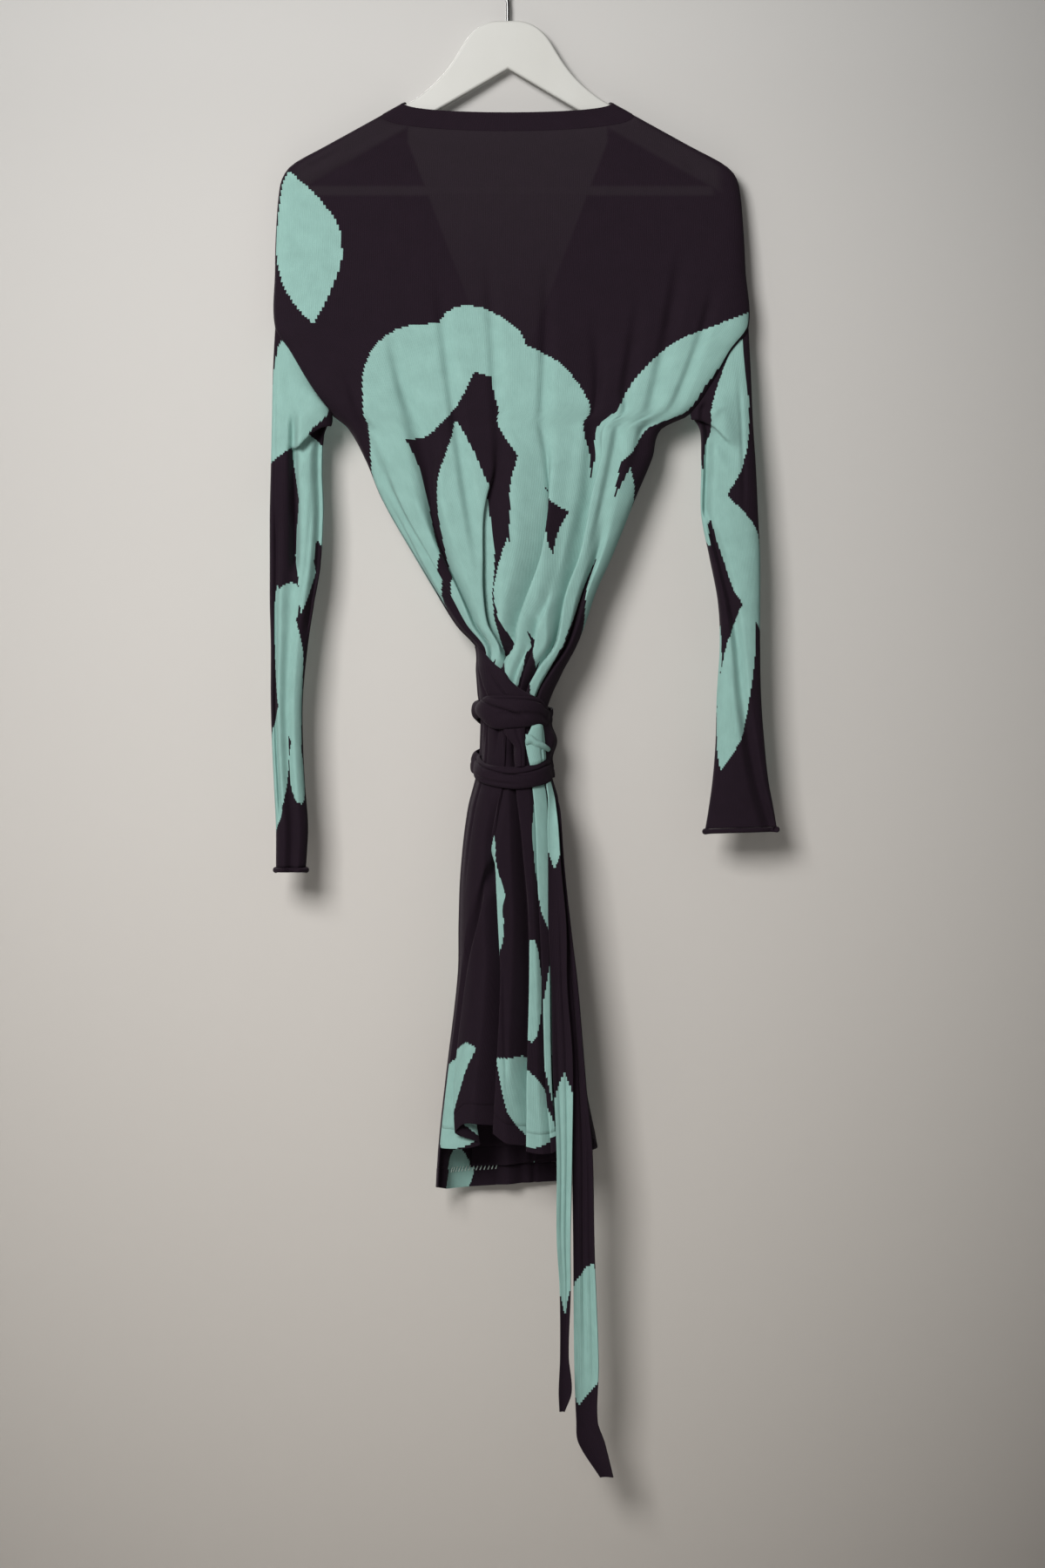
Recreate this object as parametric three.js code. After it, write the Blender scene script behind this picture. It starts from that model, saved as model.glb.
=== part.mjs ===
// Long-sleeved fine-knit wrap dress, hung on its hanger and wound twice with its own ties.
// Millimetres, +Z up. The dress's back faces -Y and its wrapped front faces +Y.
// The origin is the inside top of the hook, where a rail or a peg carries everything.

import * as THREE from "three";

// Cloth
const KNIT = 1.2; // single fine knit
const BAND = 2.2; // doubled knit of the neck edge and the hems
const TIE_KNIT = 1.6; // tubular knit of the ties
const SEAM = 0.3; // open line between two pieces that are sewn together
const SIDE_SEAM = 0.25; // each panel's distance from the plane of the side seams
const ARMHOLE_GAP = 1.35; // sleeve's middle surface from the panels', each way
const HALF_GAP = 0.4; // each half of the right sleeve from the plane between its halves
const HALF_GAP_AT_ARM = 0.6; // the same at the armhole, where the edges lean
const EDGE_SPACE = 0.6; // from a wound turn's edge to the strand that comes out under it
const TIE_RELEASE = 45; // length over which a hanging end leaves the waist's form
const TIE_ROW_EASE = 1.3; // closer rows at the top of a tie
const CLEAR = 1; // air between two pieces that lie on each other
const OVERLAP = 4.8; // how far the over front stands outside the under front
const EDGE_GAP = 0.02; // angle left open between a front and its edge band
const LIFT_RAMP = 0.3; // angle from its own seam over which the over front rises
const BAND_STAND = 0.7; // how far a front band's end stands off the shoulder line
const BAND_WIDTH = 18;
const HEM_HEIGHT = 19;
const BACK_HEM_SEAM = 1.5; // wider, because the back's pleats lean where its hem begins
const FRONT_HEM_SEAM = 0.6;
const CUFF_ROLL = 5;

// Heights on the dress
const NECK_TOP = -158;
const NECK_DIP = 11;
const BAND_AT_SHOULDER = 10;
const YOKE_END = -225;
const ARMHOLE_TOP = -374;
const UNDERARM = -458;
const WAIST = -722;
const SKIRT_TOP = -770;
const BACK_HEM = -1164;

// Hanger
const HANGER_THICK = 11;
const HANGER_EDGE = 3.2;
const WIRE = 3.7;
const HOOK_RADIUS = 22;
const BODY_TOP = -79.8;
const BAR_DIAMETER = 9;
const BAR_HEIGHT = -244.5;
const HEAD_HALF = 8;
const ARM_START = [92, -156.9];
const ARM_END = [199, -215.6];
const ARM_TIP = [207, -248.8];
const INNER_CORNER = [65, -164.2];
const BAR_REACH = 198;
const INNER_APEX = -126;

const AUBERGINE = { color: 0x2b1e29, roughness: 0.9, metalness: 0 };
const MINT = { color: 0x93cdb9, roughness: 0.9, metalness: 0 };
const WHITE_LACQUER = { color: 0xe6e6e6, roughness: 0.45, metalness: 0 };
const STEEL_WIRE = { color: 0x8f8f92, roughness: 0.3, metalness: 1 };

// Turns rows of numbers with named columns into smooth functions of the first column
function table(columns, rows) {
  const names = columns.split(" ");
  const keys = rows.map((row) => row[0]);
  const slope = (k, c) => {
    const a = Math.max(k - 1, 0);
    const b = Math.min(k + 1, rows.length - 1);
    return (rows[b][c] - rows[a][c]) / (keys[b] - keys[a]);
  };
  const falling = keys[0] > keys[1];
  return (name, at) => {
    const c = names.indexOf(name);
    const last = rows.length - 1;
    const before = (k) => (falling ? at <= keys[k] : at >= keys[k]);
    if (!before(0)) return rows[0][c];
    if (before(last)) return rows[last][c];
    let k = 0;
    while (before(k + 1)) k += 1;
    const span = keys[k + 1] - keys[k];
    const t = (at - keys[k]) / span;
    const rise = t * t * (3 - 2 * t);
    return (
      rows[k][c] * (1 - rise) +
      rows[k + 1][c] * rise +
      slope(k, c) * span * t * (1 - t) * (1 - t) -
      slope(k + 1, c) * span * t * t * (1 - t)
    );
  };
}

// Outline of the dress at each height: side edges, half depths of back and front,
// how square the section is, and where the over front's edge runs (-1 left to 1 right)
const BODY = table("z left right back front square over", [
  [-158, -98, 98, 8.2, 8.2, 34, -1],
  [-170, -120, 120, 8.2, 8.2, 34, -0.8],
  [-185, -147.4, 147.4, 8, 8, 34, -0.61],
  [-202, -178.4, 178.4, 7.8, 7.8, 34, -0.49],
  [-217, -205.8, 206.8, 7.8, 7.8, 34, -0.42],
  [-227, -215, 218, 8, 8, 32, -0.39],
  [-240, -219.5, 223, 8.5, 8.5, 30, -0.36],
  [-281, -223, 227, 10, 10, 26, -0.3],
  [-320, -224, 229, 12, 12, 22, -0.24],
  [-374, -224, 232, 15, 14, 18, -0.16],
  [-398, -209, 215, 16, 15, 16, -0.12],
  [-430, -190, 195, 18, 16, 13, -0.05],
  [-458, -170, 176, 20, 17, 10, 0.01],
  [-472, -153, 148, 20, 18, 9, 0.03],
  [-501, -137, 139, 22, 19, 7.5, 0.1],
  [-539, -121, 123, 23, 20, 6, 0.2],
  [-596, -88, 100, 24, 21, 4.5, 0.41],
  [-629, -68, 85, 25, 22, 3.6, 0.54],
  [-662, -47, 74, 26, 23, 3, 0.66],
  [-684, -29, 65, 27, 24, 2.6, 0.75],
  [-706, -27, 53, 27, 24, 2.4, 0.82],
  [-741, -25, 40, 26, 23, 2.3, 0.85],
  [-769, -25, 39, 25, 23, 2.3, 0.85],
  [-798, -27, 40, 26, 24, 2.3, 0.85],
  [-840, -36, 47, 29, 26, 2.3, 0.85],
  [-899, -43, 53, 31, 28, 2.3, 0.84],
  [-949, -45, 58, 33, 29, 2.3, 0.83],
  [-1000, -46, 63, 34, 31, 2.3, 0.8],
  [-1100, -58, 74, 38, 34, 2.3, 0.7],
  [-1164, -65, 86, 41, 37, 2.3, 0.6],
  [-1215, -68, 92, 43, 38, 2.3, 0.5],
]);

// Lower edges across the panels, from the left seam (0) to the right seam (1)
const BACK_EDGE = table("u z", [
  [0, -1163],
  [0.12, -1163],
  [0.24, -1140],
  [0.36, -1143],
  [0.46, -1158],
  [0.6, -1167],
  [0.74, -1158],
  [0.88, -1152],
  [1, -1161],
]);
const OVER_EDGE = table("u z", [
  [0, -1203],
  [0.2, -1208],
  [0.5, -1204],
  [1, -1200],
]);
const UNDER_EDGE = table("u z", [
  [0, -1188],
  [0.5, -1184],
  [1, -1165],
]);

// Troughs that gather the cloth. Each starts at the waist at "near" across the panel and
// runs to "far" at height farZ; widths are fractions of the panel, depths are millimetres.
const FOLD_COLUMNS = ["near", "far", "farZ", "width", "farWidth", "depth", "farDepth"];
const named = (rows) => rows.map((row) => Object.fromEntries(row.map((v, k) => [FOLD_COLUMNS[k], v])));

const BACK_BODICE_FOLDS = named([
  [0.1, 0.15, -500, 0.05, 0.05, 5, 1],
  [0.19, 0.2, -470, 0.05, 0.05, 6, 0.5],
  [0.28, 0.28, -560, 0.045, 0.05, 8, 1],
  [0.36, 0.34, -440, 0.04, 0.05, 7, 0],
  [0.44, 0.41, -380, 0.05, 0.045, 9, 0.5],
  [0.53, 0.49, -410, 0.04, 0.05, 7, 0],
  [0.61, 0.58, -330, 0.05, 0.05, 10, 0.5],
  [0.7, 0.66, -420, 0.045, 0.04, 7, 0],
  [0.79, 0.73, -380, 0.05, 0.05, 9, 0.5],
  [0.88, 0.82, -450, 0.045, 0.05, 6, 0],
]);
const BACK_SKIRT_FOLDS = named([
  [0.12, 0.06, -1164, 0.05, 0.05, 4, 9],
  [0.3, 0.2, -1164, 0.06, 0.07, 7, 17],
  [0.41, 0.39, -1164, 0.05, 0.07, 6, 20],
  [0.49, 0.5, -1164, 0.04, 0.05, 4, 7],
  [0.56, 0.57, -1164, 0.05, 0.05, 8, 14],
  [0.64, 0.65, -1164, 0.04, 0.05, 6, 10],
  [0.73, 0.74, -1164, 0.045, 0.05, 6, 12],
  [0.84, 0.86, -1164, 0.05, 0.06, 5, 13],
]);
const FRONT_BODICE_FOLDS = named([
  [0.16, 0.17, -480, 0.1, 0.1, 3.5, 0],
  [0.35, 0.33, -420, 0.1, 0.1, 4, 0],
  [0.54, 0.52, -520, 0.1, 0.1, 4, 0],
  [0.72, 0.69, -440, 0.1, 0.1, 4, 0],
  [0.88, 0.86, -520, 0.09, 0.1, 3, 0],
]);
const FRONT_SKIRT_FOLDS = named([
  [0.16, 0.15, -1208, 0.1, 0.1, 3.5, 6],
  [0.35, 0.36, -1208, 0.1, 0.11, 4, 8],
  [0.54, 0.57, -1208, 0.1, 0.11, 4, 8],
  [0.72, 0.77, -1208, 0.1, 0.1, 4, 7],
]);

// Sleeves: outer and inner edge of each ring, half depth, and the rings' long troughs
const SLEEVE_COLUMNS = "v outerX outerZ innerX innerZ depth";
const LEFT_SLEEVE = table(SLEEVE_COLUMNS, [
  [0, -224, -376, -171, -459, 8],
  [0.08, -226, -416, -169, -461, 11],
  [0.16, -227, -466, -177, -477, 13],
  [0.25, -228, -512, -179, -512, 14],
  [0.34, -229, -554, -178, -554, 14],
  [0.44, -229, -605, -181, -605, 14],
  [0.52, -229, -640, -187, -640, 14],
  [0.6, -228, -680, -193, -680, 14],
  [0.7, -228, -731, -198, -731, 14],
  [0.78, -227, -773, -198, -773, 14],
  [0.86, -225, -815, -196, -815, 14],
  [0.94, -223, -857, -193, -857, 14],
  [1, -223, -895, -195, -895, 14],
]);
const RIGHT_SLEEVE = table(SLEEVE_COLUMNS, [
  [0, 232, -376, 177, -459, 8],
  [0.08, 234, -416, 178, -461, 11],
  [0.16, 236, -464, 186, -475, 13],
  [0.25, 239, -510, 187, -510, 14],
  [0.34, 241, -554, 187, -554, 14],
  [0.44, 243, -596, 195, -596, 14],
  [0.52, 243, -638, 203, -638, 13],
  [0.62, 243, -680, 205, -680, 12],
  [0.72, 244, -731, 202, -731, 12],
  [0.8, 247, -773, 201, -773, 11],
  [0.88, 251, -811, 198, -811, 10],
  [0.95, 256, -838, 194, -840, 9],
  [1, 259, -856, 191, -858, 9],
]);
// "turn" is the place round the sleeve: 0 outer edge, 0.25 mid back, 0.5 inner edge
const LEFT_SLEEVE_FOLDS = [
  { turn: 0.2, endTurn: 0.25, from: 0.14, to: 1.3, width: 0.08, depth: 13 },
  { turn: 0.4, endTurn: 0.42, from: 0.1, to: 0.6, width: 0.07, depth: 6 },
  { turn: 0.78, endTurn: 0.76, from: 0.1, to: 1.3, width: 0.08, depth: 10 },
];
const RIGHT_SLEEVE_FOLDS = [
  { turn: 0.42, endTurn: 0.08, from: 0.3, to: 1.05, width: 0.07, depth: 6.5 },
  { turn: 0.36, endTurn: 0.42, from: 0.05, to: 0.36, width: 0.07, depth: 8 },
  { turn: 0.74, endTurn: 0.7, from: 0.1, to: 0.9, width: 0.08, depth: 6.5 },
];

// Ties: side edges and depth of each hanging strand
const SHORT_TIE = table("z left right y", [
  [-816, 36, 44, -22],
  [-850, 38, 48, -26],
  [-893, 39, 51, -29.5],
  [-949, 39, 56, -33],
  [-1008, 42, 57, -35.5],
  [-1076, 43, 62, -39],
  [-1167, 47, 61.5, -41],
  [-1246, 47, 60, -39],
  [-1298, 50, 60, -37],
  [-1359, 50.5, 58, -36],
  [-1394, 49, 61, -36],
  [-1413, 50, 54, -36],
]);
const LONG_TIE = table("z left right y", [
  [-816, 43, 49, -17],
  [-893, 47, 54, -21],
  [-949, 51, 60, -25],
  [-1008, 56, 67, -28],
  [-1067, 60, 72, -31],
  [-1115, 62, 76, -33],
  [-1167, 62, 81, -34],
  [-1260, 63, 83, -31],
  [-1368, 64, 87, -27],
  [-1424, 66, 86, -25],
  [-1445, 68, 93, -25],
  [-1478, 89, 101, -25],
]);

const smooth = (a, b, x) => {
  const t = Math.min(1, Math.max(0, (x - a) / (b - a)));
  return t * t * (3 - 2 * t);
};
const mix = (a, b, t) => a + (b - a) * t;
const bump = (t) => (Math.abs(t) < 1 ? Math.cos((t * Math.PI) / 2) ** 2 : 0);

// Depth of all troughs of one list at a place across the panel and a height
function foldDepth(folds, across, z) {
  let depth = 0;
  for (const fold of folds) {
    const t = Math.min(1, (z - WAIST) / (fold.farZ - WAIST));
    const width = mix(fold.width, fold.farWidth, t);
    depth += mix(fold.depth, fold.farDepth, t) * bump((across - mix(fold.near, fold.far, t)) / width);
  }
  return depth;
}

function pleats(side, across, z) {
  const bodice = side < 0 ? BACK_BODICE_FOLDS : FRONT_BODICE_FOLDS;
  const skirt = side < 0 ? BACK_SKIRT_FOLDS : FRONT_SKIRT_FOLDS;
  const below = smooth(WAIST - 20, SKIRT_TOP - 20, z);
  const above = z > WAIST ? foldDepth(bodice, across, z) : foldDepth(bodice, across, WAIST);
  const hung = z < WAIST ? foldDepth(skirt, across, z) : 0;
  const edges = smooth(0, 0.06, across) * smooth(1, 0.94, across);
  return edges * (above * (1 - below) + hung * below);
}

// Half depth that the armhole seam gives the panels' edges between armhole top and underarm
function armholeDepth(z) {
  const t = (z - ARMHOLE_TOP) / (UNDERARM - ARMHOLE_TOP);
  return t > 0 && t < 1 ? 8 * Math.sqrt(Math.sin(Math.PI * t)) : 0;
}

// Smooth hull of one half of the dress; theta runs from the left seam (0) to the right (pi)
function hull(side, theta, z) {
  const left = BODY("left", z);
  const right = BODY("right", z);
  const depth = BODY(side < 0 ? "back" : "front", z);
  const c = Math.cos(theta);
  const fullness = Math.sqrt(Math.max(0, 1 - Math.abs(c) ** BODY("square", z)));
  const seam = armholeDepth(z);
  const y = side * (SIDE_SEAM + seam + (depth - seam) * fullness);
  return new THREE.Vector3((left + right) / 2 - ((right - left) / 2) * c, y, z);
}

// Point at a distance outside the hull
function outside(side, theta, z, distance) {
  const step = 0.004;
  const point = hull(side, theta, z);
  const t = hull(side, Math.min(Math.PI, theta + step), z).sub(hull(side, Math.max(0, theta - step), z));
  const normal = new THREE.Vector3(side < 0 ? t.y : -t.y, side < 0 ? -t.x : t.x, 0).normalize();
  return point.addScaledVector(normal, distance);
}

const cloth = (side, theta, z, lift) => outside(side, theta, z, lift - pleats(side, theta / Math.PI, z));

// Closed wall round a grid of middle points; "loop" joins the last column to the first
function wall(name, finish, thickness, cols, rows, surface, loop = false) {
  const across = loop ? cols : cols + 1;
  const grid = [];
  for (let j = 0; j <= rows; j += 1) {
    for (let i = 0; i < across; i += 1) grid.push(surface(i / cols, j / rows));
  }
  const id = (i, j) => j * across + (loop ? (i + across) % across : Math.min(Math.max(i, 0), cols));
  const row = (j) => Math.min(Math.max(j, 0), rows);
  const positions = [];
  for (const sign of [1, -1]) {
    for (let j = 0; j <= rows; j += 1) {
      for (let i = 0; i < across; i += 1) {
        const du = grid[id(i + 1, j)].clone().sub(grid[id(i - 1, j)]);
        const dv = grid[id(i, row(j + 1))].clone().sub(grid[id(i, row(j - 1))]);
        const normal = du.cross(dv).normalize();
        const p = grid[id(i, j)].clone().addScaledVector(normal, (sign * thickness) / 2);
        positions.push(p.x, p.y, p.z);
      }
    }
  }
  const inner = grid.length;
  const faces = [];
  const quad = (a, b, c, d) => faces.push(a, b, c, a, c, d);
  for (let j = 0; j < rows; j += 1) {
    for (let i = 0; i < cols; i += 1) {
      const [a, b, c, d] = [id(i, j), id(i + 1, j), id(i + 1, j + 1), id(i, j + 1)];
      quad(a, b, c, d);
      faces.push(inner + a, inner + c, inner + b, inner + a, inner + d, inner + c);
    }
  }
  for (let i = 0; i < cols; i += 1) {
    quad(id(i, 0), inner + id(i, 0), inner + id(i + 1, 0), id(i + 1, 0));
    quad(id(i + 1, rows), inner + id(i + 1, rows), inner + id(i, rows), id(i, rows));
  }
  if (!loop) {
    for (let j = 0; j < rows; j += 1) {
      quad(id(0, j + 1), inner + id(0, j + 1), inner + id(0, j), id(0, j));
      quad(id(cols, j), inner + id(cols, j), inner + id(cols, j + 1), id(cols, j + 1));
    }
  }
  const geometry = new THREE.BufferGeometry();
  geometry.setAttribute("position", new THREE.Float32BufferAttribute(positions, 3));
  geometry.setIndex(faces);
  const mesh = new THREE.Mesh(geometry, new THREE.MeshStandardMaterial(finish));
  mesh.name = name;
  return mesh;
}

// Heights of grid rows from spans of [top, bottom, steps]
function heights(spans) {
  const list = [spans[0][0]];
  for (const [top, bottom, steps] of spans) {
    for (let k = 1; k <= steps; k += 1) list.push(mix(top, bottom, k / steps));
  }
  return list;
}

// Height of a panel's row, eased at the top to its neck line and at the foot to its hem line
function rowHeight(list, v, top, foot) {
  const first = list[0];
  const last = list[list.length - 1];
  const z = list[Math.round(v * (list.length - 1))];
  const upper = smooth(YOKE_END, first, z);
  const lower = Math.min(1, Math.max(0, (z - SKIRT_TOP) / (last - SKIRT_TOP)));
  return z + (top - first) * upper + (foot - last) * lower;
}

const neckLine = (theta) => NECK_TOP - NECK_DIP * Math.sin(theta);
const bandHeight = (theta) => mix(BAND_AT_SHOULDER, BAND_WIDTH, Math.sin(theta));

function makeBack() {
  const list = heights([
    [-170, -225, 4],
    [-225, -374, 3],
    [-374, -458, 4],
    [-458, -640, 5],
    [-640, -700, 3],
    [-700, -755, 3],
    [-755, -810, 2],
    [-810, -1145, 7],
  ]);
  const cols = 38;
  const panel = wall("back", AUBERGINE, KNIT, cols, list.length - 1, (u, v) => {
    const theta = u * Math.PI;
    const top = neckLine(theta) - bandHeight(theta) - SEAM;
    const foot = BACK_EDGE("z", u) + HEM_HEIGHT;
    return cloth(-1, theta, rowHeight(list, v, top, foot), 0);
  });
  const neckband = wall("neckband_back", AUBERGINE, BAND, 26, 1, (u, v) => {
    const theta = u * Math.PI;
    return cloth(-1, theta, neckLine(theta) - v * bandHeight(theta), 0);
  });
  const hem = wall("hem_back", MINT, BAND, cols, 1, (u, v) => {
    const z = BACK_EDGE("z", u) + (HEM_HEIGHT - BACK_HEM_SEAM) * (1 - v);
    return cloth(-1, u * Math.PI, z, 0);
  });
  return [panel, neckband, hem];
}

// Angle of a front's free edge and of the inner edge of its band, from that front's own seam
function edgeAngle(z) {
  return Math.acos(-Math.min(1, Math.max(-1, BODY("over", z))));
}
function bandAngle(z) {
  const theta = edgeAngle(z);
  const half = (BODY("right", z) - BODY("left", z)) / 2;
  const speed = Math.hypot(half * Math.sin(theta), BODY("front", z) * Math.cos(theta));
  const shift = (BAND_WIDTH * Math.sin(theta)) / speed;
  return Math.acos(-Math.max(-1, BODY("over", z) - shift));
}

// One front with its edge band and hem. "from" is -1 when it is sewn to the left side seam.
function makeFront(label, from, lift, edge, finish) {
  const place = (theta, z) => {
    const turned = from < 0 ? theta : Math.PI - theta;
    const raised = lift * smooth(0, LIFT_RAMP, theta) * smooth(NECK_TOP, YOKE_END, z);
    return cloth(1, turned, z, raised);
  };
  const hemZ = (theta) => edge("z", from < 0 ? theta / Math.PI : 1 - theta / Math.PI);
  const spans = [
    [-171, -225, 3],
    [-225, -374, 3],
    [-374, -458, 4],
    [-458, -640, 4],
    [-640, -700, 3],
    [-700, -755, 2],
    [-755, -810, 2],
    [-810, -1170, 6],
  ];
  const list = heights(spans);
  // columns run so that the wall's outside faces away from the body
  const along = (u) => (from < 0 ? 1 - u : u);
  const panel = wall(`front_${label}`, finish, KNIT, 16, list.length - 1, (u, v) => {
    const z0 = list[Math.round(v * (list.length - 1))];
    const theta = along(u) * (bandAngle(z0) - EDGE_GAP);
    return place(theta, rowHeight(list, v, list[0], hemZ(theta) + HEM_HEIGHT));
  });
  const rows = heights([[NECK_TOP, -171, 4], ...spans]);
  const band = wall(`band_${label}`, AUBERGINE, BAND, 2, rows.length - 1, (u, v) => {
    const b = from < 0 ? u : 1 - u;
    const z0 = rows[Math.round(v * (rows.length - 1))];
    const slant = BAND_AT_SHOULDER * smooth(YOKE_END, NECK_TOP, z0) * b;
    const z = z0 - slant;
    const theta = mix(edgeAngle(z), bandAngle(z), b);
    const point = place(theta, rowHeight(rows, v, NECK_TOP, hemZ(theta) + HEM_HEIGHT) - slant);
    point.y += BAND_STAND * smooth(-171, NECK_TOP, z0);
    return point;
  });
  const hem = wall(`hem_${label}`, finish, BAND, 16, 1, (u, v) => {
    const theta = along(u) * edgeAngle(BACK_HEM);
    return place(theta, hemZ(theta) + (HEM_HEIGHT - FRONT_HEM_SEAM) * (1 - v));
  });
  return [panel, band, hem];
}

// One sleeve and the roll at its cuff; the top ring follows the armhole seam. A twisted sleeve
// is laid in a back and a front half, which keeps each half a simple wall beside its hollow.
function makeSleeve(label, sleeve, folds, finish, cuffFinish, twisted = false) {
  const direction = label === "left" ? -1 : 1;
  const column = label === "left" ? "left" : "right";
  const cols = 20;
  const rows = 13;
  const ring = (turn, v) => {
    const angle = turn * 2 * Math.PI;
    const t = (1 - Math.cos(angle)) / 2;
    const depth = sleeve("depth", v);
    const outer = [sleeve("outerX", v), sleeve("outerZ", v)];
    const inner = [sleeve("innerX", v), sleeve("innerZ", v)];
    const x = mix(outer[0], inner[0], t);
    const z = mix(outer[1], inner[1], t);
    const side = -Math.sin(angle);
    const point = new THREE.Vector3(x, Math.sign(side) * depth * Math.abs(side) ** 0.8, z);
    let trough = 0;
    for (const fold of folds) {
      const k = (v - fold.from) / (fold.to - fold.from);
      if (k > 0 && k < 1) {
        const centre = mix(fold.turn, fold.endTurn, k);
        const ease = smooth(0, 0.15, k) * smooth(1, 0.9, k);
        trough += fold.depth * ease * bump((turn - centre) / fold.width);
      }
    }
    point.y -= Math.sign(side) * trough;
    const seamZ = mix(ARMHOLE_TOP, UNDERARM, t);
    const seam = new THREE.Vector3(BODY(column, seamZ), Math.sign(side) * armholeDepth(seamZ), seamZ);
    seam.x += direction * ARMHOLE_GAP;
    seam.z -= ARMHOLE_GAP;
    return seam.lerp(point, smooth(0, 0.1, v));
  };
  const turned = (u) => (direction < 0 ? u : 1 - u);
  const half = (name, side) =>
    wall(`sleeve_${label}_${name}`, finish, KNIT, cols / 2, rows, (u, v) => {
      const point = ring(turned(u / 2 + (side === direction ? 0 : 0.5)), v);
      point.y += side * mix(HALF_GAP_AT_ARM, HALF_GAP, smooth(0, 0.2, v));
      return point;
    });
  const tube = twisted
    ? [half("back", -1), half("front", 1)]
    : [wall(`sleeve_${label}`, finish, KNIT, cols, rows, (u, v) => ring(turned(u), v), true)];
  const cuff = wall(
    `cuff_${label}`,
    cuffFinish,
    BAND,
    cols,
    1,
    (u, v) => {
      const point = ring(turned(u), 1);
      point.z -= SEAM + v * CUFF_ROLL;
      return point;
    },
    true,
  );
  return [...tube, cuff];
}

// Round the gathered waist: turn 0 is the left side, 0.25 the middle of the back
function aroundWaist(turn, z, lift) {
  const angle = (((turn % 1) + 1) % 1) * 2 * Math.PI;
  const isBack = angle <= Math.PI;
  const theta = isBack ? angle : 2 * Math.PI - angle;
  const front = (OVERLAP + BAND / 2) * (isBack ? 0 : smooth(0, LIFT_RAMP, theta) * smooth(Math.PI, 2.7, theta));
  return outside(isBack ? -1 : 1, theta, z, lift + front);
}

// One full turn of the wound ties, as a soft roll
function makeWrap(name, finish, shape, bulge) {
  return wall(
    name,
    finish,
    TIE_KNIT,
    34,
    4,
    (u, v) => {
      const half = shape("height", u) / 2;
      const across = 2 * v - 1;
      const z = shape("z", u) - half * across;
      const rise = bulge * Math.sqrt(Math.max(0, 1 - across * across));
      return aroundWaist(u, z, KNIT / 2 + CLEAR + TIE_KNIT / 2 + rise);
    },
    true,
  );
}

const UPPER_WRAP = table("turn z height", [
  [0, -743.5, 13],
  [0.06, -743.5, 19],
  [0.12, -745, 29],
  [0.25, -746, 31],
  [0.33, -745.5, 28],
  [0.43, -749, 17],
  [0.5, -750, 11],
  [0.58, -749, 17],
  [0.75, -748, 24],
  [0.92, -744, 22],
  [1, -743.5, 13],
]);
const LOWER_WRAP = table("turn z height", [
  [0, -797.5, 18],
  [0.07, -802, 18],
  [0.14, -806.5, 18],
  [0.25, -809, 20],
  [0.38, -806, 20],
  [0.5, -802, 20],
  [0.75, -796, 20],
  [0.9, -792, 20],
  [1, -797.5, 18],
]);

// A strip of tie that lies over the gathered back. Rows are places along it: height of the
// upper and lower edge or of the left and right edge, as turns round the waist.
function makePatch(name, finish, thickness, cols, rows, place) {
  return wall(name, finish, thickness, cols, rows, (u, v) => {
    const { turn, z, lift } = place(u, v);
    return aroundWaist(turn, z, KNIT / 2 + CLEAR + thickness / 2 + lift);
  });
}

function makeWaist() {
  const upper = makeWrap("wrap_upper", AUBERGINE, UPPER_WRAP, 4.5);
  const lower = makeWrap("wrap_lower", AUBERGINE, LOWER_WRAP, 3.5);
  // the tie that comes out of the left side and slants down over the back
  const sashTop = table("turn z", [
    [-0.02, -684],
    [0.12, -701],
    [0.24, -718],
    [0.33, -728],
    [0.4, -731],
  ]);
  const sash = makePatch("sash_diagonal", AUBERGINE, TIE_KNIT, 10, 3, (u, v) => {
    const turn = mix(-0.02, 0.36, u);
    const foot = UPPER_WRAP("z", Math.max(0, turn)) + UPPER_WRAP("height", Math.max(0, turn)) / 2 + 3;
    return { turn, z: mix(sashTop("z", turn), Math.min(foot, sashTop("z", turn) - 2), v), lift: 2.4 * (1 - v) };
  });
  // strands between the two wound turns start and end close to their edges
  const between = (turn, v) => {
    const top = UPPER_WRAP("z", turn) - UPPER_WRAP("height", turn) / 2 - EDGE_SPACE;
    const foot = LOWER_WRAP("z", turn) + LOWER_WRAP("height", turn) / 2 + EDGE_SPACE;
    return mix(top, foot, v);
  };
  const loop = makePatch("loop_right", AUBERGINE, TIE_KNIT, 4, 5, (u, v) => {
    const turn = mix(0.44, 0.54, u);
    return { turn, z: between(turn, mix(0.03, 0.97, v)), lift: 3 * (1 - Math.cos(2 * Math.PI * v)) };
  });
  const strand = makePatch("strand_dark", AUBERGINE, TIE_KNIT, 3, 5, (u, v) => {
    const turn = mix(mix(0.2, 0.262, smooth(0, 0.6, v)), 0.3, u);
    return { turn, z: between(turn, v), lift: 1.2 * Math.sin(Math.PI * u) };
  });
  const drop = makePatch("strand_mint", MINT, TIE_KNIT, 4, 5, (u, v) => {
    const turn = mix(0.315, 0.415, u);
    return { turn, z: between(turn, v), lift: 1.5 * Math.sin(Math.PI * u) };
  });
  const knot = makePatch("knot_loop", MINT, TIE_KNIT, 5, 2, (u, v) => ({
    turn: mix(0.305, 0.43, u),
    z: mix(-772, -780, v) - 4 * u,
    lift: 3.8 + 1.5 * Math.sin(Math.PI * v),
  }));
  return [upper, lower, sash, loop, strand, drop, knot];
}

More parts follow.
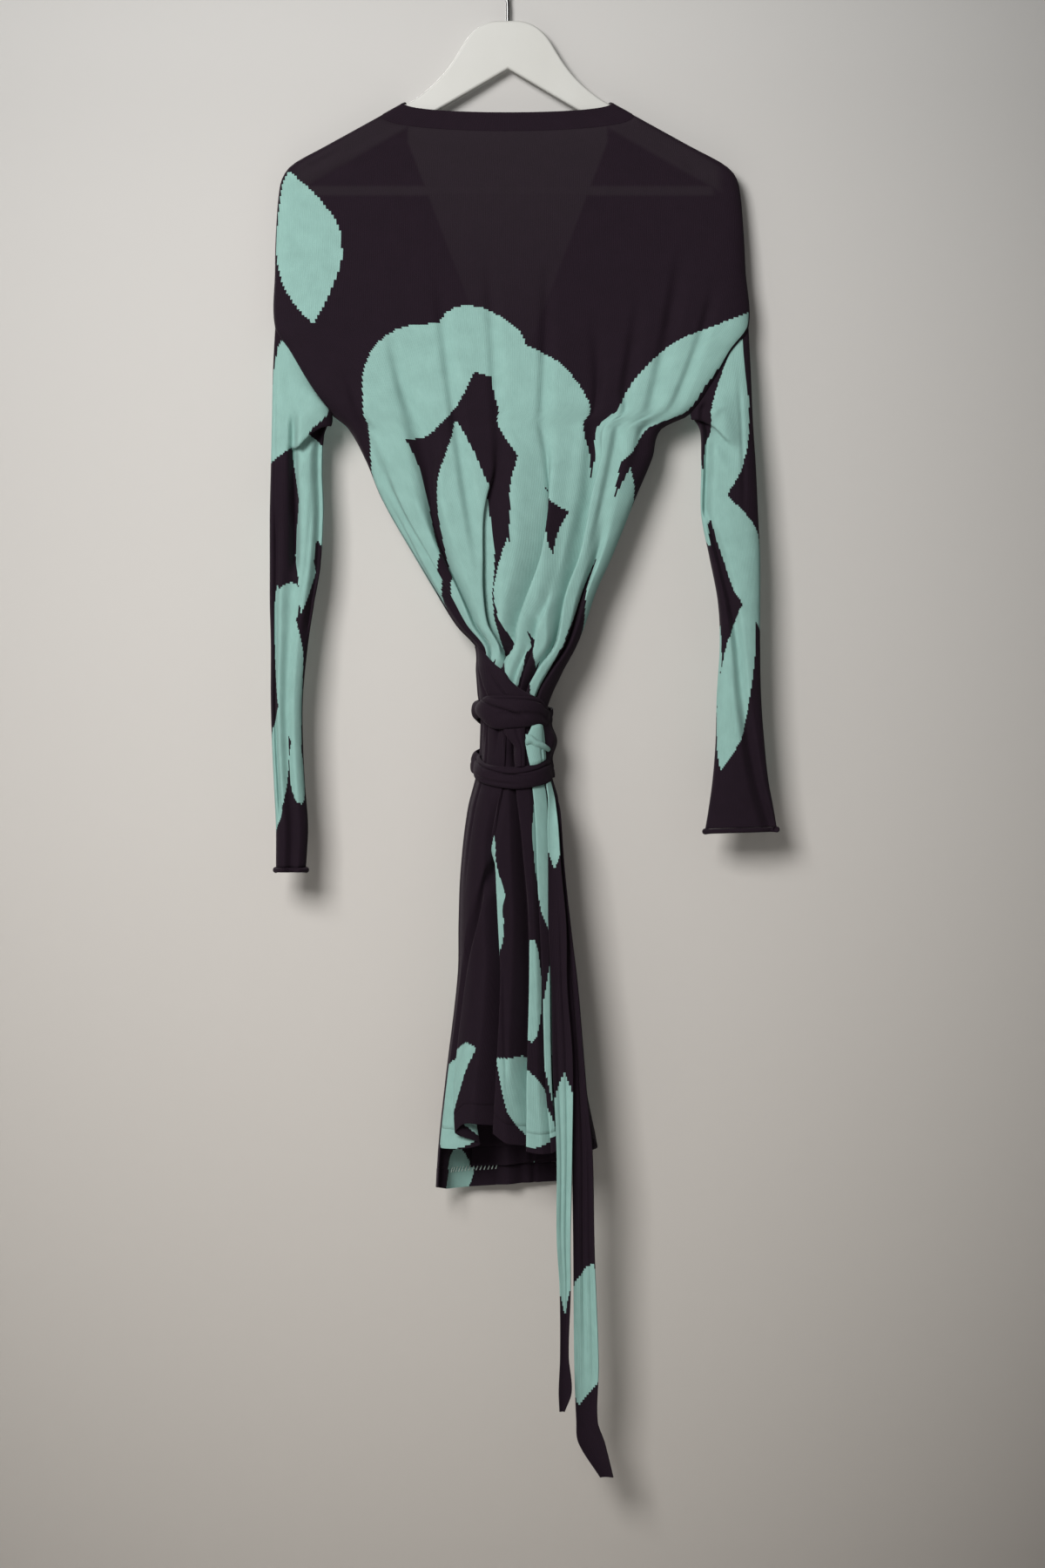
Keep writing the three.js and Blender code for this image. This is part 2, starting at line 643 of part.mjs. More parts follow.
// A hanging tie end with a soft hollow along its middle; it comes out from under the lower turn
function makeTie(name, finish, strand, turns, foot, rows, hollow) {
  return wall(name, finish, TIE_KNIT, 4, rows, (u, v) => {
    const turn = mix(...turns, u);
    const top = LOWER_WRAP("z", turn) - LOWER_WRAP("height", turn) / 2 - EDGE_SPACE;
    const z = mix(top, foot, v ** TIE_ROW_EASE);
    const cup = hollow * (1 - (2 * u - 1) ** 2);
    const free = new THREE.Vector3(mix(strand("left", z), strand("right", z), u), strand("y", z) + cup, z);
    const held = aroundWaist(turn, z, KNIT / 2 + CLEAR + TIE_KNIT / 2);
    return held.lerp(free, smooth(top, top - TIE_RELEASE, z));
  });
}

function mesh(name, geometry, finish) {
  const piece = new THREE.Mesh(geometry, new THREE.MeshStandardMaterial(finish));
  piece.name = name;
  return piece;
}

// Flat white hanger: bell-shaped head, two sloping arms, round bar and wire hook
function makeHanger() {
  const shape = new THREE.Shape();
  shape.moveTo(-HEAD_HALF, BODY_TOP);
  shape.lineTo(HEAD_HALF, BODY_TOP);
  shape.bezierCurveTo(24, -80, 35, -89, 43.5, -103.5);
  shape.bezierCurveTo(55, -123, 64, -138, ...ARM_START);
  shape.lineTo(...ARM_END);
  shape.quadraticCurveTo(ARM_END[0] + 10, -226, ...ARM_TIP);
  shape.lineTo(...INNER_CORNER);
  shape.lineTo(0, INNER_APEX);
  shape.lineTo(-INNER_CORNER[0], INNER_CORNER[1]);
  shape.lineTo(-ARM_TIP[0], ARM_TIP[1]);
  shape.quadraticCurveTo(-ARM_END[0] - 10, -226, -ARM_END[0], ARM_END[1]);
  shape.lineTo(-ARM_START[0], ARM_START[1]);
  shape.bezierCurveTo(-64, -138, -55, -123, -43.5, -103.5);
  shape.bezierCurveTo(-35, -89, -24, -80, -HEAD_HALF, BODY_TOP);
  const flat = HANGER_THICK - 2 * HANGER_EDGE;
  const body = new THREE.ExtrudeGeometry(shape, {
    depth: flat,
    bevelThickness: HANGER_EDGE,
    bevelSize: HANGER_EDGE,
    bevelOffset: -HANGER_EDGE,
    bevelSegments: 2,
    curveSegments: 7,
  });
  body.translate(0, 0, -flat / 2);
  body.rotateX(Math.PI / 2);

  // the bar's ends are cut to the slope of the arms' inner edges
  const slope = (ARM_TIP[0] - INNER_CORNER[0]) / (INNER_CORNER[1] - ARM_TIP[1]);
  const bar = new THREE.CylinderGeometry(BAR_DIAMETER / 2, BAR_DIAMETER / 2, 2, 12, 1);
  bar.rotateZ(Math.PI / 2);
  const spots = bar.attributes.position;
  for (let k = 0; k < spots.count; k += 1) {
    const z = BAR_HEIGHT + spots.getZ(k);
    const reach = INNER_CORNER[0] + (INNER_CORNER[1] - z) * slope - 2 * SEAM;
    spots.setXYZ(k, Math.sign(spots.getX(k)) * Math.min(reach, BAR_REACH), spots.getY(k), z);
  }

  const centre = -HOOK_RADIUS + WIRE / 2;
  const points = [];
  for (let k = 0; k <= 10; k += 1) {
    const angle = mix(3.5, -0.95, k / 10);
    points.push(new THREE.Vector3(HOOK_RADIUS * Math.cos(angle), 0, centre + HOOK_RADIUS * Math.sin(angle)));
  }
  points.push(new THREE.Vector3(4, 0, -46));
  points.push(new THREE.Vector3(0, 0, -53));
  points.push(new THREE.Vector3(0, 0, -66));
  points.push(new THREE.Vector3(0, 0, BODY_TOP + SEAM));
  const round = new THREE.Shape();
  round.absarc(0, 0, WIRE / 2, 0, 2 * Math.PI, false);
  const wire = new THREE.ExtrudeGeometry(round, {
    steps: 28,
    curveSegments: 5,
    bevelEnabled: false,
    extrudePath: new THREE.CatmullRomCurve3(points, false, "centripetal"),
  });
  return [
    mesh("hanger_body", body, WHITE_LACQUER),
    mesh("hanger_bar", bar, WHITE_LACQUER),
    mesh("hanger_hook", wire, STEEL_WIRE),
  ];
}

const dress = new THREE.Group();
dress.name = "wrap_dress_on_hanger";
dress.add(
  ...makeHanger(),
  ...makeBack(),
  ...makeFront("over", -1, OVERLAP, OVER_EDGE, AUBERGINE),
  ...makeFront("under", 1, 0, UNDER_EDGE, AUBERGINE),
  ...makeSleeve("left", LEFT_SLEEVE, LEFT_SLEEVE_FOLDS, MINT, AUBERGINE),
  ...makeSleeve("right", RIGHT_SLEEVE, RIGHT_SLEEVE_FOLDS, MINT, AUBERGINE, true),
  ...makeWaist(),
  makeTie("tie_short", AUBERGINE, SHORT_TIE, [0.405, 0.445], -1413, 15, 1.5),
  makeTie("tie_long", AUBERGINE, LONG_TIE, [0.455, 0.5], -1478, 16, 2.5),
);

export default dress;
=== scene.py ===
"""Looks of a long-sleeved wrap dress on its hanger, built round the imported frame.

Sizes and tables are millimetres, as in the part's own source; meshes are metres.
"""

import logging
import math
from dataclasses import dataclass, field
from enum import Enum
from typing import Callable

import bmesh
import bpy
import numpy as np
from mathutils import Matrix, Vector


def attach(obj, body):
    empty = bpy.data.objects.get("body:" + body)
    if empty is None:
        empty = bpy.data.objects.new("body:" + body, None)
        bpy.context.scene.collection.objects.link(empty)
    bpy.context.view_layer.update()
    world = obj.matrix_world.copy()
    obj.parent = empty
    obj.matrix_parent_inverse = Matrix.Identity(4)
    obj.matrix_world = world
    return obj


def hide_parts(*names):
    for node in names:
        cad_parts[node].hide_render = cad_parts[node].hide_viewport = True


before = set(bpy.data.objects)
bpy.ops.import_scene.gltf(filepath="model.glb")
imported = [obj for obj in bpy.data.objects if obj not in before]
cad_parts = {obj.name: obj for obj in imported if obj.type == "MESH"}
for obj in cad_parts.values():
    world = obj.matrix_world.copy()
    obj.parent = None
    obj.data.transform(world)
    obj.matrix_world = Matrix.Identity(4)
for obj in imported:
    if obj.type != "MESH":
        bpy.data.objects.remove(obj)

log = logging.getLogger("wrap_dress")

MM = 0.001
NECK_TOP = -158.0
YOKE_END = -225.0
ARMHOLE_TOP = -374.0
UNDERARM = -458.0
WAIST = -722.0
SKIRT_TOP = -770.0
BACK_HEM = -1164.0
SEAM = 0.3
KNIT = 1.2
CLEAR = 1.0
TIE_KNIT = 1.6
BAND = 2.2
OVERLAP = 4.8
LIFT_RAMP = 0.3
EDGE_SPACE = 0.6

Surface = Callable[[np.ndarray, np.ndarray], np.ndarray]


class Half(Enum):
    """The half of the dress a panel belongs to; the back faces -Y."""

    BACK = -1
    FRONT = 1


class Hand(Enum):
    """A side of the dress as the back is seen."""

    LEFT = -1
    RIGHT = 1


class Outline(Enum):
    """Plain shapes of the two-colour knit."""

    LEAF = "leaf"
    PEBBLE = "pebble"


class Hold(Enum):
    """How a sheet of cloth is held."""

    HUNG = "hung"
    GATHERED = "gathered"


def mix(a: float, b: float, t: np.ndarray) -> np.ndarray:
    """Returns the value at t between a and b."""
    return a + (b - a) * t


def smooth(a: float, b: float, x: np.ndarray) -> np.ndarray:
    """Returns a soft step of x that rises from 0 at a to 1 at b."""
    t = np.clip((x - a) / (b - a), 0, 1)
    return t * t * (3 - 2 * t)


def bump(t: np.ndarray) -> np.ndarray:
    """Returns a soft hump, 1 at t = 0 and 0 from t = -1 and 1 on."""
    return np.cos(np.clip(t, -1, 1) * math.pi / 2) ** 2


@dataclass(frozen=True)
class Table:
    """Smooth functions of a first column, from rows of named columns."""

    columns: str
    rows: tuple[tuple[float, ...], ...]

    def at(self, name: str, where: np.ndarray) -> np.ndarray:
        """Reads one column.

        Args:
            name: column to read.
            where: places in the first column.

        Returns:
            The column's value at each place.
        """
        data = np.array(self.rows, float)
        values = data[:, self.columns.split().index(name)]
        order = 1.0 if data[-1, 0] > data[0, 0] else -1.0
        keys = data[:, 0] * order
        last = len(keys) - 1
        x = np.clip(np.asarray(where, float) * order, keys[0], keys[-1])
        k = np.clip(np.searchsorted(keys, x, side="right") - 1, 0, last - 1)
        below, above = np.maximum(np.arange(last + 1) - 1, 0), np.minimum(np.arange(last + 1) + 1, last)
        slope = (values[above] - values[below]) / (keys[above] - keys[below])
        span = keys[k + 1] - keys[k]
        t = (x - keys[k]) / span
        ends = values[k] * (1 - smooth(0, 1, t)) + values[k + 1] * smooth(0, 1, t)
        return ends + span * t * (1 - t) * (slope[k] * (1 - t) - slope[k + 1] * t)


@dataclass(frozen=True)
class Fold:
    """A trough of the gathered cloth, from the waist to another height."""

    near: float
    far: float
    far_z: float
    width: float
    far_width: float
    depth: float
    far_depth: float
    lean: float = 0.0
    sharp: float = 1.0

    def depth_at(self, across: np.ndarray, z: np.ndarray) -> np.ndarray:
        """Measures the trough.

        Args:
            across: places across the panel, 0 to 1.
            z: heights.

        Returns:
            Its depth at each place.
        """
        t = np.clip((z - WAIST) / (self.far_z - WAIST), 0, 1)
        x = (across - mix(self.near, self.far, t)) / mix(self.width, self.far_width, t)
        x = np.clip(x, -1, 1)
        return mix(self.depth, self.far_depth, t) * bump(x + self.lean * (1 - x * x)) ** self.sharp


PLEAT_COLUMNS = "z place width depth tuck"


@dataclass(frozen=True)
class Pleat:
    """A knife pleat: a trough whose foot slides sideways under the cloth beside it."""

    path: Table

    def reach(self, across: np.ndarray, z: np.ndarray) -> np.ndarray:
        """Returns how deep in the pleat each place is, 0 to 1."""
        return bump((across - self.path.at("place", z)) / self.path.at("width", z))

    def depth_at(self, across: np.ndarray, z: np.ndarray) -> np.ndarray:
        """Returns the pleat's depth at each place."""
        return self.path.at("depth", z) * self.reach(across, z)

    def shift_at(self, across: np.ndarray, z: np.ndarray) -> np.ndarray:
        """Returns how far the pleat carries each place across, as a share of the panel."""
        return self.path.at("tuck", z) * self.path.at("width", z) * self.reach(across, z)


def pleat(*rows: tuple[float, ...]) -> Pleat:
    """Returns a pleat from rows of height, place, half width, depth and tuck."""
    return Pleat(Table(PLEAT_COLUMNS, rows))


@dataclass(frozen=True)
class Crease:
    """A soft trough along a bowed line on the cloth; a negative depth makes a ridge."""

    start: tuple[float, float]
    end: tuple[float, float]
    width: float
    depth: float
    bow: float = 0.0
    steep: float = 1.0

    def depth_at(self, x: np.ndarray, z: np.ndarray) -> np.ndarray:
        """Measures the trough; its side to the left of the line is steep times as wide as the other.

        Args:
            x: places across the cloth.
            z: places along the cloth.

        Returns:
            Its depth at each place.
        """
        dx, dz = self.end[0] - self.start[0], self.end[1] - self.start[1]
        length = math.hypot(dx, dz)
        t = ((x - self.start[0]) * dx + (z - self.start[1]) * dz) / length**2
        off = ((x - self.start[0]) * dz - (z - self.start[1]) * dx) / length
        inside = np.clip(t, 0, 1)
        off = off - self.bow * 4 * inside * (1 - inside)
        ends = smooth(0, 0.3, inside) * smooth(1, 0.7, inside)
        wide = np.where(off > 0, self.width * self.steep, self.width)
        return self.depth * ends * bump(off / wide)


def total(parts: tuple, x: np.ndarray, z: np.ndarray) -> np.ndarray:
    """Adds up troughs.

    Args:
        parts: folds or creases.
        x: places across.
        z: places along.

    Returns:
        The depth of them all at each place.
    """
    depth = np.zeros_like(np.asarray(x, float) + z)
    for part in parts:
        depth = depth + part.depth_at(x, z)
    return depth


@dataclass(frozen=True)
class Form:
    """The hung dress: an oval section at each height, gathered by folds towards the waist."""

    side_seam: float = 0.25
    outline: Table = Table(
        "z left right back front square over",
        (
            (-158, -98, 98, 8.2, 8.2, 34, -1),
            (-170, -120, 120, 8.2, 8.2, 34, -0.8),
            (-185, -147.4, 147.4, 8, 8, 34, -0.61),
            (-202, -178.4, 178.4, 7.8, 7.8, 34, -0.49),
            (-217, -205.8, 206.8, 7.8, 7.8, 34, -0.42),
            (-227, -215, 218, 8, 8, 32, -0.39),
            (-240, -219.5, 223, 8.5, 8.5, 30, -0.36),
            (-281, -223, 227, 10, 10, 26, -0.3),
            (-320, -224, 229, 12, 12, 22, -0.24),
            (-374, -224, 232, 15, 14, 18, -0.16),
            (-398, -209, 215, 16, 15, 16, -0.12),
            (-430, -190, 195, 18, 16, 13, -0.05),
            (-458, -170, 176, 20, 17, 10, 0.01),
            (-472, -153, 148, 20, 18, 9, 0.03),
            (-501, -137, 139, 22, 19, 7.5, 0.1),
            (-539, -121, 123, 23, 20, 6, 0.2),
            (-596, -88, 100, 24, 21, 4.5, 0.41),
            (-629, -68, 85, 25, 22, 3.6, 0.54),
            (-662, -47, 74, 26, 23, 3, 0.66),
            (-684, -27, 65, 27, 24, 2.6, 0.75),
            (-706, -25, 53, 27, 24, 2.4, 0.82),
            (-741, -23, 38, 26, 23, 2.3, 0.85),
            (-769, -23.5, 36.5, 25, 23, 2.3, 0.85),
            (-798, -25.5, 38, 26, 24, 2.3, 0.85),
            (-840, -36, 47, 29, 26, 2.3, 0.85),
            (-899, -43, 53, 31, 28, 2.3, 0.84),
            (-949, -45, 58, 33, 29, 2.3, 0.83),
            (-1000, -46, 63, 34, 31, 2.3, 0.8),
            (-1100, -58, 74, 38, 34, 2.3, 0.7),
            (-1164, -65, 86, 41, 37, 2.3, 0.6),
            (-1215, -68, 92, 43, 38, 2.3, 0.5),
        ),
    )
    back_bodice: tuple[Pleat, ...] = (
        pleat(
            (-380, 0.35, 0.05, 0, 0),
            (-428, 0.335, 0.05, 3, 0),
            (-479, 0.311, 0.05, 6, 0.3),
            (-529, 0.287, 0.048, 8, 0.2),
            (-584, 0.27, 0.045, 10, -0.6),
            (-606, 0.27, 0.042, 10, -1),
            (-650, 0.26, 0.04, 9, -1),
            (-684, 0.2, 0.034, 6, -0.8),
            (-722, 0.15, 0.035, 4, -0.5),
        ),
        pleat(
            (-490, 0.49, 0.04, 0, 0),
            (-516, 0.49, 0.035, 3, -0.4),
            (-563, 0.455, 0.036, 8, -1),
            (-605, 0.425, 0.04, 11, -1.2),
            (-638, 0.388, 0.042, 12, -1.2),
            (-676, 0.34, 0.042, 11, -1.2),
            (-722, 0.33, 0.04, 6, -1),
        ),
        pleat(
            (-470, 0.57, 0.05, 0, 0),
            (-512, 0.56, 0.048, 6, 0.5),
            (-563, 0.56, 0.046, 10, 1.1),
            (-605, 0.54, 0.046, 13, 1.2),
            (-638, 0.492, 0.045, 13, 1.2),
            (-676, 0.398, 0.042, 11, 1.2),
            (-699, 0.31, 0.038, 8, 1.2),
            (-722, 0.3, 0.034, 6, 1),
        ),
        pleat(
            (-440, 0.69, 0.05, 0, 0),
            (-470, 0.68, 0.05, 4, 0.5),
            (-529, 0.68, 0.05, 9, 1),
            (-596, 0.69, 0.05, 13, 1.2),
            (-638, 0.67, 0.05, 13, 1.2),
            (-680, 0.665, 0.046, 11, 1.2),
            (-701, 0.6, 0.042, 8, 1.2),
            (-722, 0.55, 0.04, 6, 1),
        ),
        pleat((-650, 0.55, 0.03, 0, 0), (-665, 0.545, 0.03, 3, 0.5), (-697, 0.5, 0.03, 5, 1), (-722, 0.49, 0.03, 5, 1)),
        pleat(
            (-560, 0.8, 0.04, 0, 0),
            (-600, 0.82, 0.04, 6, 0.6),
            (-647, 0.815, 0.042, 9, 1.2),
            (-680, 0.8, 0.04, 9, 1.2),
            (-722, 0.7, 0.035, 6, 1),
        ),
        pleat((-500, 0.13, 0.05, 0, 0), (-560, 0.12, 0.05, 3, 0.4), (-640, 0.13, 0.05, 5, 0.6), (-722, 0.1, 0.04, 3, 0.5)),
        pleat(
            (-370, 0.62, 0.05, 0, 0),
            (-440, 0.62, 0.05, 3, 0.4),
            (-529, 0.63, 0.045, 5, 0.5),
            (-596, 0.64, 0.045, 5, 0.5),
            (-640, 0.61, 0.04, 5, 0.5),
            (-690, 0.47, 0.04, 4, 0.5),
            (-722, 0.42, 0.04, 4, 0.5),
        ),
    )
    back_skirt: tuple[Pleat, ...] = (
        pleat(
            (-760, 0.43, 0.03, 2, -1),
            (-820, 0.423, 0.03, 3.5, -1.3),
            (-899, 0.335, 0.04, 6, -0.8),
            (-945, 0.23, 0.045, 8, 0.3),
            (-1000, 0.11, 0.05, 10, 1.2),
            (-1100, 0.092, 0.06, 16, 2),
            (-1164, 0.14, 0.075, 20, 2.2),
        ),
        pleat(
            (-820, 0.36, 0.03, 0, 1.3),
            (-865, 0.335, 0.04, 8, 1.2),
            (-907, 0.353, 0.045, 11, 1.1),
            (-1000, 0.36, 0.055, 15, 1.1),
            (-1100, 0.355, 0.055, 16, 1.3),
            (-1164, 0.345, 0.05, 14, 1.6),
        ),
        pleat(
            (-757, 0.475, 0.045, 3, 0.4),
            (-784, 0.475, 0.045, 10, 0.4),
            (-800, 0.48, 0.04, 8, 0.8),
            (-820, 0.49, 0.035, 7, 1.3),
            (-865, 0.52, 0.045, 11, 1.1),
            (-932, 0.545, 0.055, 15, 1.0),
            (-1000, 0.525, 0.055, 16, 1.1),
            (-1100, 0.505, 0.05, 16, 1.3),
            (-1164, 0.49, 0.045, 10, 1.5),
        ),
        pleat((-790, 0.65, 0.02, 1.5, 1.2), (-890, 0.647, 0.02, 3.5, 1.4), (-1000, 0.633, 0.02, 4.5, 1.4), (-1164, 0.616, 0.022, 5, 1.4)),
        pleat(
            (-790, 0.853, 0.025, 2, -1.2),
            (-899, 0.778, 0.03, 8, -1.2),
            (-1000, 0.731, 0.035, 11, -1.2),
            (-1100, 0.705, 0.035, 12, -1.3),
            (-1164, 0.69, 0.03, 10, -1.4),
        ),
        pleat((-860, 0.87, 0.04, 0, -0.8), (-960, 0.865, 0.04, 5, -1), (-1164, 0.87, 0.045, 10, -1.2)),
        pleat((-790, 0.16, 0.03, 3, 0.7), (-850, 0.13, 0.03, 2, 0.7), (-920, 0.1, 0.03, 0, 0.7)),
    )
    front_bodice: tuple[Fold, ...] = (
        Fold(0.16, 0.17, -480, 0.1, 0.1, 3.5, 0, 0.3),
        Fold(0.35, 0.33, -420, 0.1, 0.1, 4, 0, -0.3),
        Fold(0.54, 0.52, -520, 0.1, 0.1, 4, 0, 0.3),
        Fold(0.72, 0.69, -440, 0.1, 0.1, 4, 0, -0.3),
        Fold(0.88, 0.86, -520, 0.09, 0.1, 3, 0, 0.2),
        Fold(0.25, 0.24, -540, 0.035, 0.05, 2.2, 0),
        Fold(0.44, 0.42, -500, 0.035, 0.05, 2.4, 0),
        Fold(0.63, 0.6, -560, 0.035, 0.05, 2.2, 0),
        Fold(0.8, 0.77, -540, 0.035, 0.05, 2.2, 0),
    )
    front_skirt: tuple[Fold, ...] = (
        Fold(0.16, 0.15, -1208, 0.1, 0.1, 3.5, 6, 0.3),
        Fold(0.35, 0.36, -1208, 0.1, 0.11, 4, 8, -0.3),
        Fold(0.54, 0.57, -1208, 0.1, 0.11, 4, 8, 0.3),
        Fold(0.72, 0.77, -1208, 0.1, 0.1, 4, 7, -0.3),
        Fold(0.25, 0.25, -1040, 0.035, 0.05, 2.2, 0.4),
        Fold(0.45, 0.47, -1100, 0.035, 0.05, 2.4, 0.6),
        Fold(0.63, 0.67, -1060, 0.035, 0.05, 2.2, 0.4),
        Fold(0.86, 0.88, -1100, 0.04, 0.05, 2.2, 1),
    )
    back_creases: tuple[Crease, ...] = (
        Crease((168, -290), (112, -540), 15, 4.2, -6, 0.6),
        Crease((200, -330), (146, -480), 11, 3.2, -5, 0.6),
        Crease((128, -330), (70, -640), 13, 4.4, -5, 0.6),
        Crease((-160, -400), (-62, -670), 12, 4.2, 6, 0.6),
        Crease((-118, -360), (-40, -660), 12, 4.4, 5, 0.6),
        Crease((-70, -310), (-22, -640), 13, 4.0, 3, 0.6),
        Crease((-20, -290), (-2, -600), 13, 3.4, 0, 0.6),
        Crease((38, -300), (22, -620), 12, 4.2, -3, 0.6),
        Crease((84, -350), (44, -650), 12, 4.2, -4, 0.6),
        Crease((-207, -226), (-160, -205), 5, 1.2, 2),
        Crease((-205, -243), (-150, -216), 5, 1.4, 2),
        Crease((-190, -236), (-163, -226), 3.5, 0.8),
        Crease((206, -238), (165, -214), 5, 1.0, -2),
        Crease((-198, -243), (198, -243), 6, -0.9),
        Crease((-200, -236), (-66, -166), 6, -0.5),
        Crease((200, -236), (66, -166), 6, -0.5),
        Crease((-158, -452), (-110, -486), 7, 2.0, 2),
        Crease((160, -450), (118, -482), 7, 2.0, -2),
        Crease((-4, -985), (1, -1145), 3.5, 1.6, 1),
        Crease((-22, -930), (-30, -1120), 8, 1.8, 2),
        Crease((-12, -800), (-20, -900), 5, 0.8, 1),
    )
    front_creases: tuple[Crease, ...] = (
        Crease((-166, -300), (-108, -560), 15, 2.2, 6),
        Crease((-110, -330), (-50, -640), 14, 2.0, 5),
        Crease((160, -310), (112, -560), 15, 2.2, -6),
        Crease((112, -340), (66, -650), 14, 2.0, -5),
        Crease((200, -236), (150, -212), 5, 0.8, -2),
        Crease((-200, -236), (-150, -212), 5, 0.8, 2),
        Crease((20, -900), (26, -1150), 8, 1.4, 2),
        Crease((-26, -940), (-34, -1160), 8, 1.4, -2),
        Crease((0, -1120), (6, -1260), 15, 13, 2),
        Crease((22, -1130), (26, -1250), 5, -3, -1),
    )

    def armhole(self, z: np.ndarray) -> np.ndarray:
        """Returns the half depth that the armhole seam gives the panels' edges."""
        t = np.clip((z - ARMHOLE_TOP) / (UNDERARM - ARMHOLE_TOP), 0, 1)
        return 8 * np.sqrt(np.maximum(np.sin(math.pi * t), 0))

    def hull(self, half: Half, theta: np.ndarray, z: np.ndarray) -> np.ndarray:
        """Places points on the smooth section.

        Args:
            half: back or front.
            theta: angle from the left seam (0) to the right seam (pi).
            z: heights.

        Returns:
            Points as rows of x, y, z.
        """
        left, right = self.outline.at("left", z), self.outline.at("right", z)
        depth = self.outline.at("back" if half is Half.BACK else "front", z)
        c = np.cos(theta)
        fullness = np.sqrt(np.maximum(0, 1 - np.abs(c) ** self.outline.at("square", z)))
        seam = self.armhole(z)
        y = half.value * (self.side_seam + seam + (depth - seam) * fullness)
        return np.stack([(left + right) / 2 - (right - left) / 2 * c, y, z], axis=-1)

    def outside(self, half: Half, theta: np.ndarray, z: np.ndarray, distance: np.ndarray) -> np.ndarray:
        """Places points at a distance outside the smooth section.

        Args:
            half: back or front.
            theta: angle from the left seam.
            z: heights.
            distance: how far out.

        Returns:
            Points as rows of x, y, z.
        """
        step = 0.004
        ahead = self.hull(half, np.minimum(math.pi, theta + step), z)
        t = ahead - self.hull(half, np.maximum(0, theta - step), z)
        normal = np.stack([half.value * -t[..., 1], half.value * t[..., 0]], axis=-1)
        normal /= np.maximum(np.linalg.norm(normal, axis=-1, keepdims=True), 1e-9)
        points = self.hull(half, theta, z)
        points[..., :2] += normal * np.asarray(distance)[..., None]
        return points

    def cloth(self, half: Half, theta: np.ndarray, z: np.ndarray, lift: np.ndarray) -> np.ndarray:
        """Places points on the gathered cloth.

        Args:
            half: back or front.
            theta: angle from the left seam.
            z: heights.
            lift: distance outside the cloth's own place.

        Returns:
            Points as rows of x, y, z.
        """
        is_back = half is Half.BACK
        across = theta / math.pi
        edges = smooth(0, 0.06, across) * smooth(1, 0.94, across)
        below = smooth(WAIST - 20, SKIRT_TOP - 20, z)
        above = total(self.back_bodice if is_back else self.front_bodice, across, np.maximum(z, WAIST))
        hung = total(self.back_skirt if is_back else self.front_skirt, across, np.minimum(z, WAIST))
        x = self.hull(half, theta, z)[..., 0]
        fine = total(self.back_creases if is_back else self.front_creases, x, z)
        depth = edges * (above * (1 - below) + hung * below + fine)
        if is_back:
            upper = sum(fold.shift_at(across, np.maximum(z, WAIST)) for fold in self.back_bodice)
            lower = sum(fold.shift_at(across, np.minimum(z, WAIST)) for fold in self.back_skirt)
            theta = theta + math.pi * edges * (upper * (1 - below) + lower * below)
        return self.outside(half, theta, z, lift - depth)

    def around_waist(self, turn: np.ndarray, z: np.ndarray, lift: np.ndarray) -> np.ndarray:
        """Places points of a tie wound round the waist.

        Args:
            turn: place round the waist, 0 at the left side and 0.25 mid back.
            z: heights.
            lift: distance outside the gathered cloth.

        Returns:
            Points as rows of x, y, z.
        """
        angle = np.mod(turn, 1) * 2 * math.pi
        theta = np.minimum(angle, 2 * math.pi - angle)
        front = (OVERLAP + BAND / 2) * smooth(0, LIFT_RAMP, theta) * smooth(math.pi, 2.7, theta)
        back_points = self.outside(Half.BACK, theta, z, lift)
        front_points = self.outside(Half.FRONT, theta, z, lift + front)
        return np.where((angle <= math.pi)[..., None], back_points, front_points)


@dataclass(frozen=True)
class Motif:
    """One plain leaf or pebble knitted into the cloth, in metres on the flat cloth."""

    outline: Outline
    centre: tuple[float, float]
    length: float
    width: float
    turn: float


def leaf(x: float, z: float, length: float, width: float, turn: float) -> Motif:
    """Returns a leaf from millimetres and degrees."""
    return Motif(Outline.LEAF, (x * MM, z * MM), length * MM, width * MM, turn)


def pebble(x: float, z: float, length: float, width: float, turn: float = 0) -> Motif:
    """Returns a pebble from millimetres and degrees."""
    return Motif(Outline.PEBBLE, (x * MM, z * MM), length * MM, width * MM, turn)


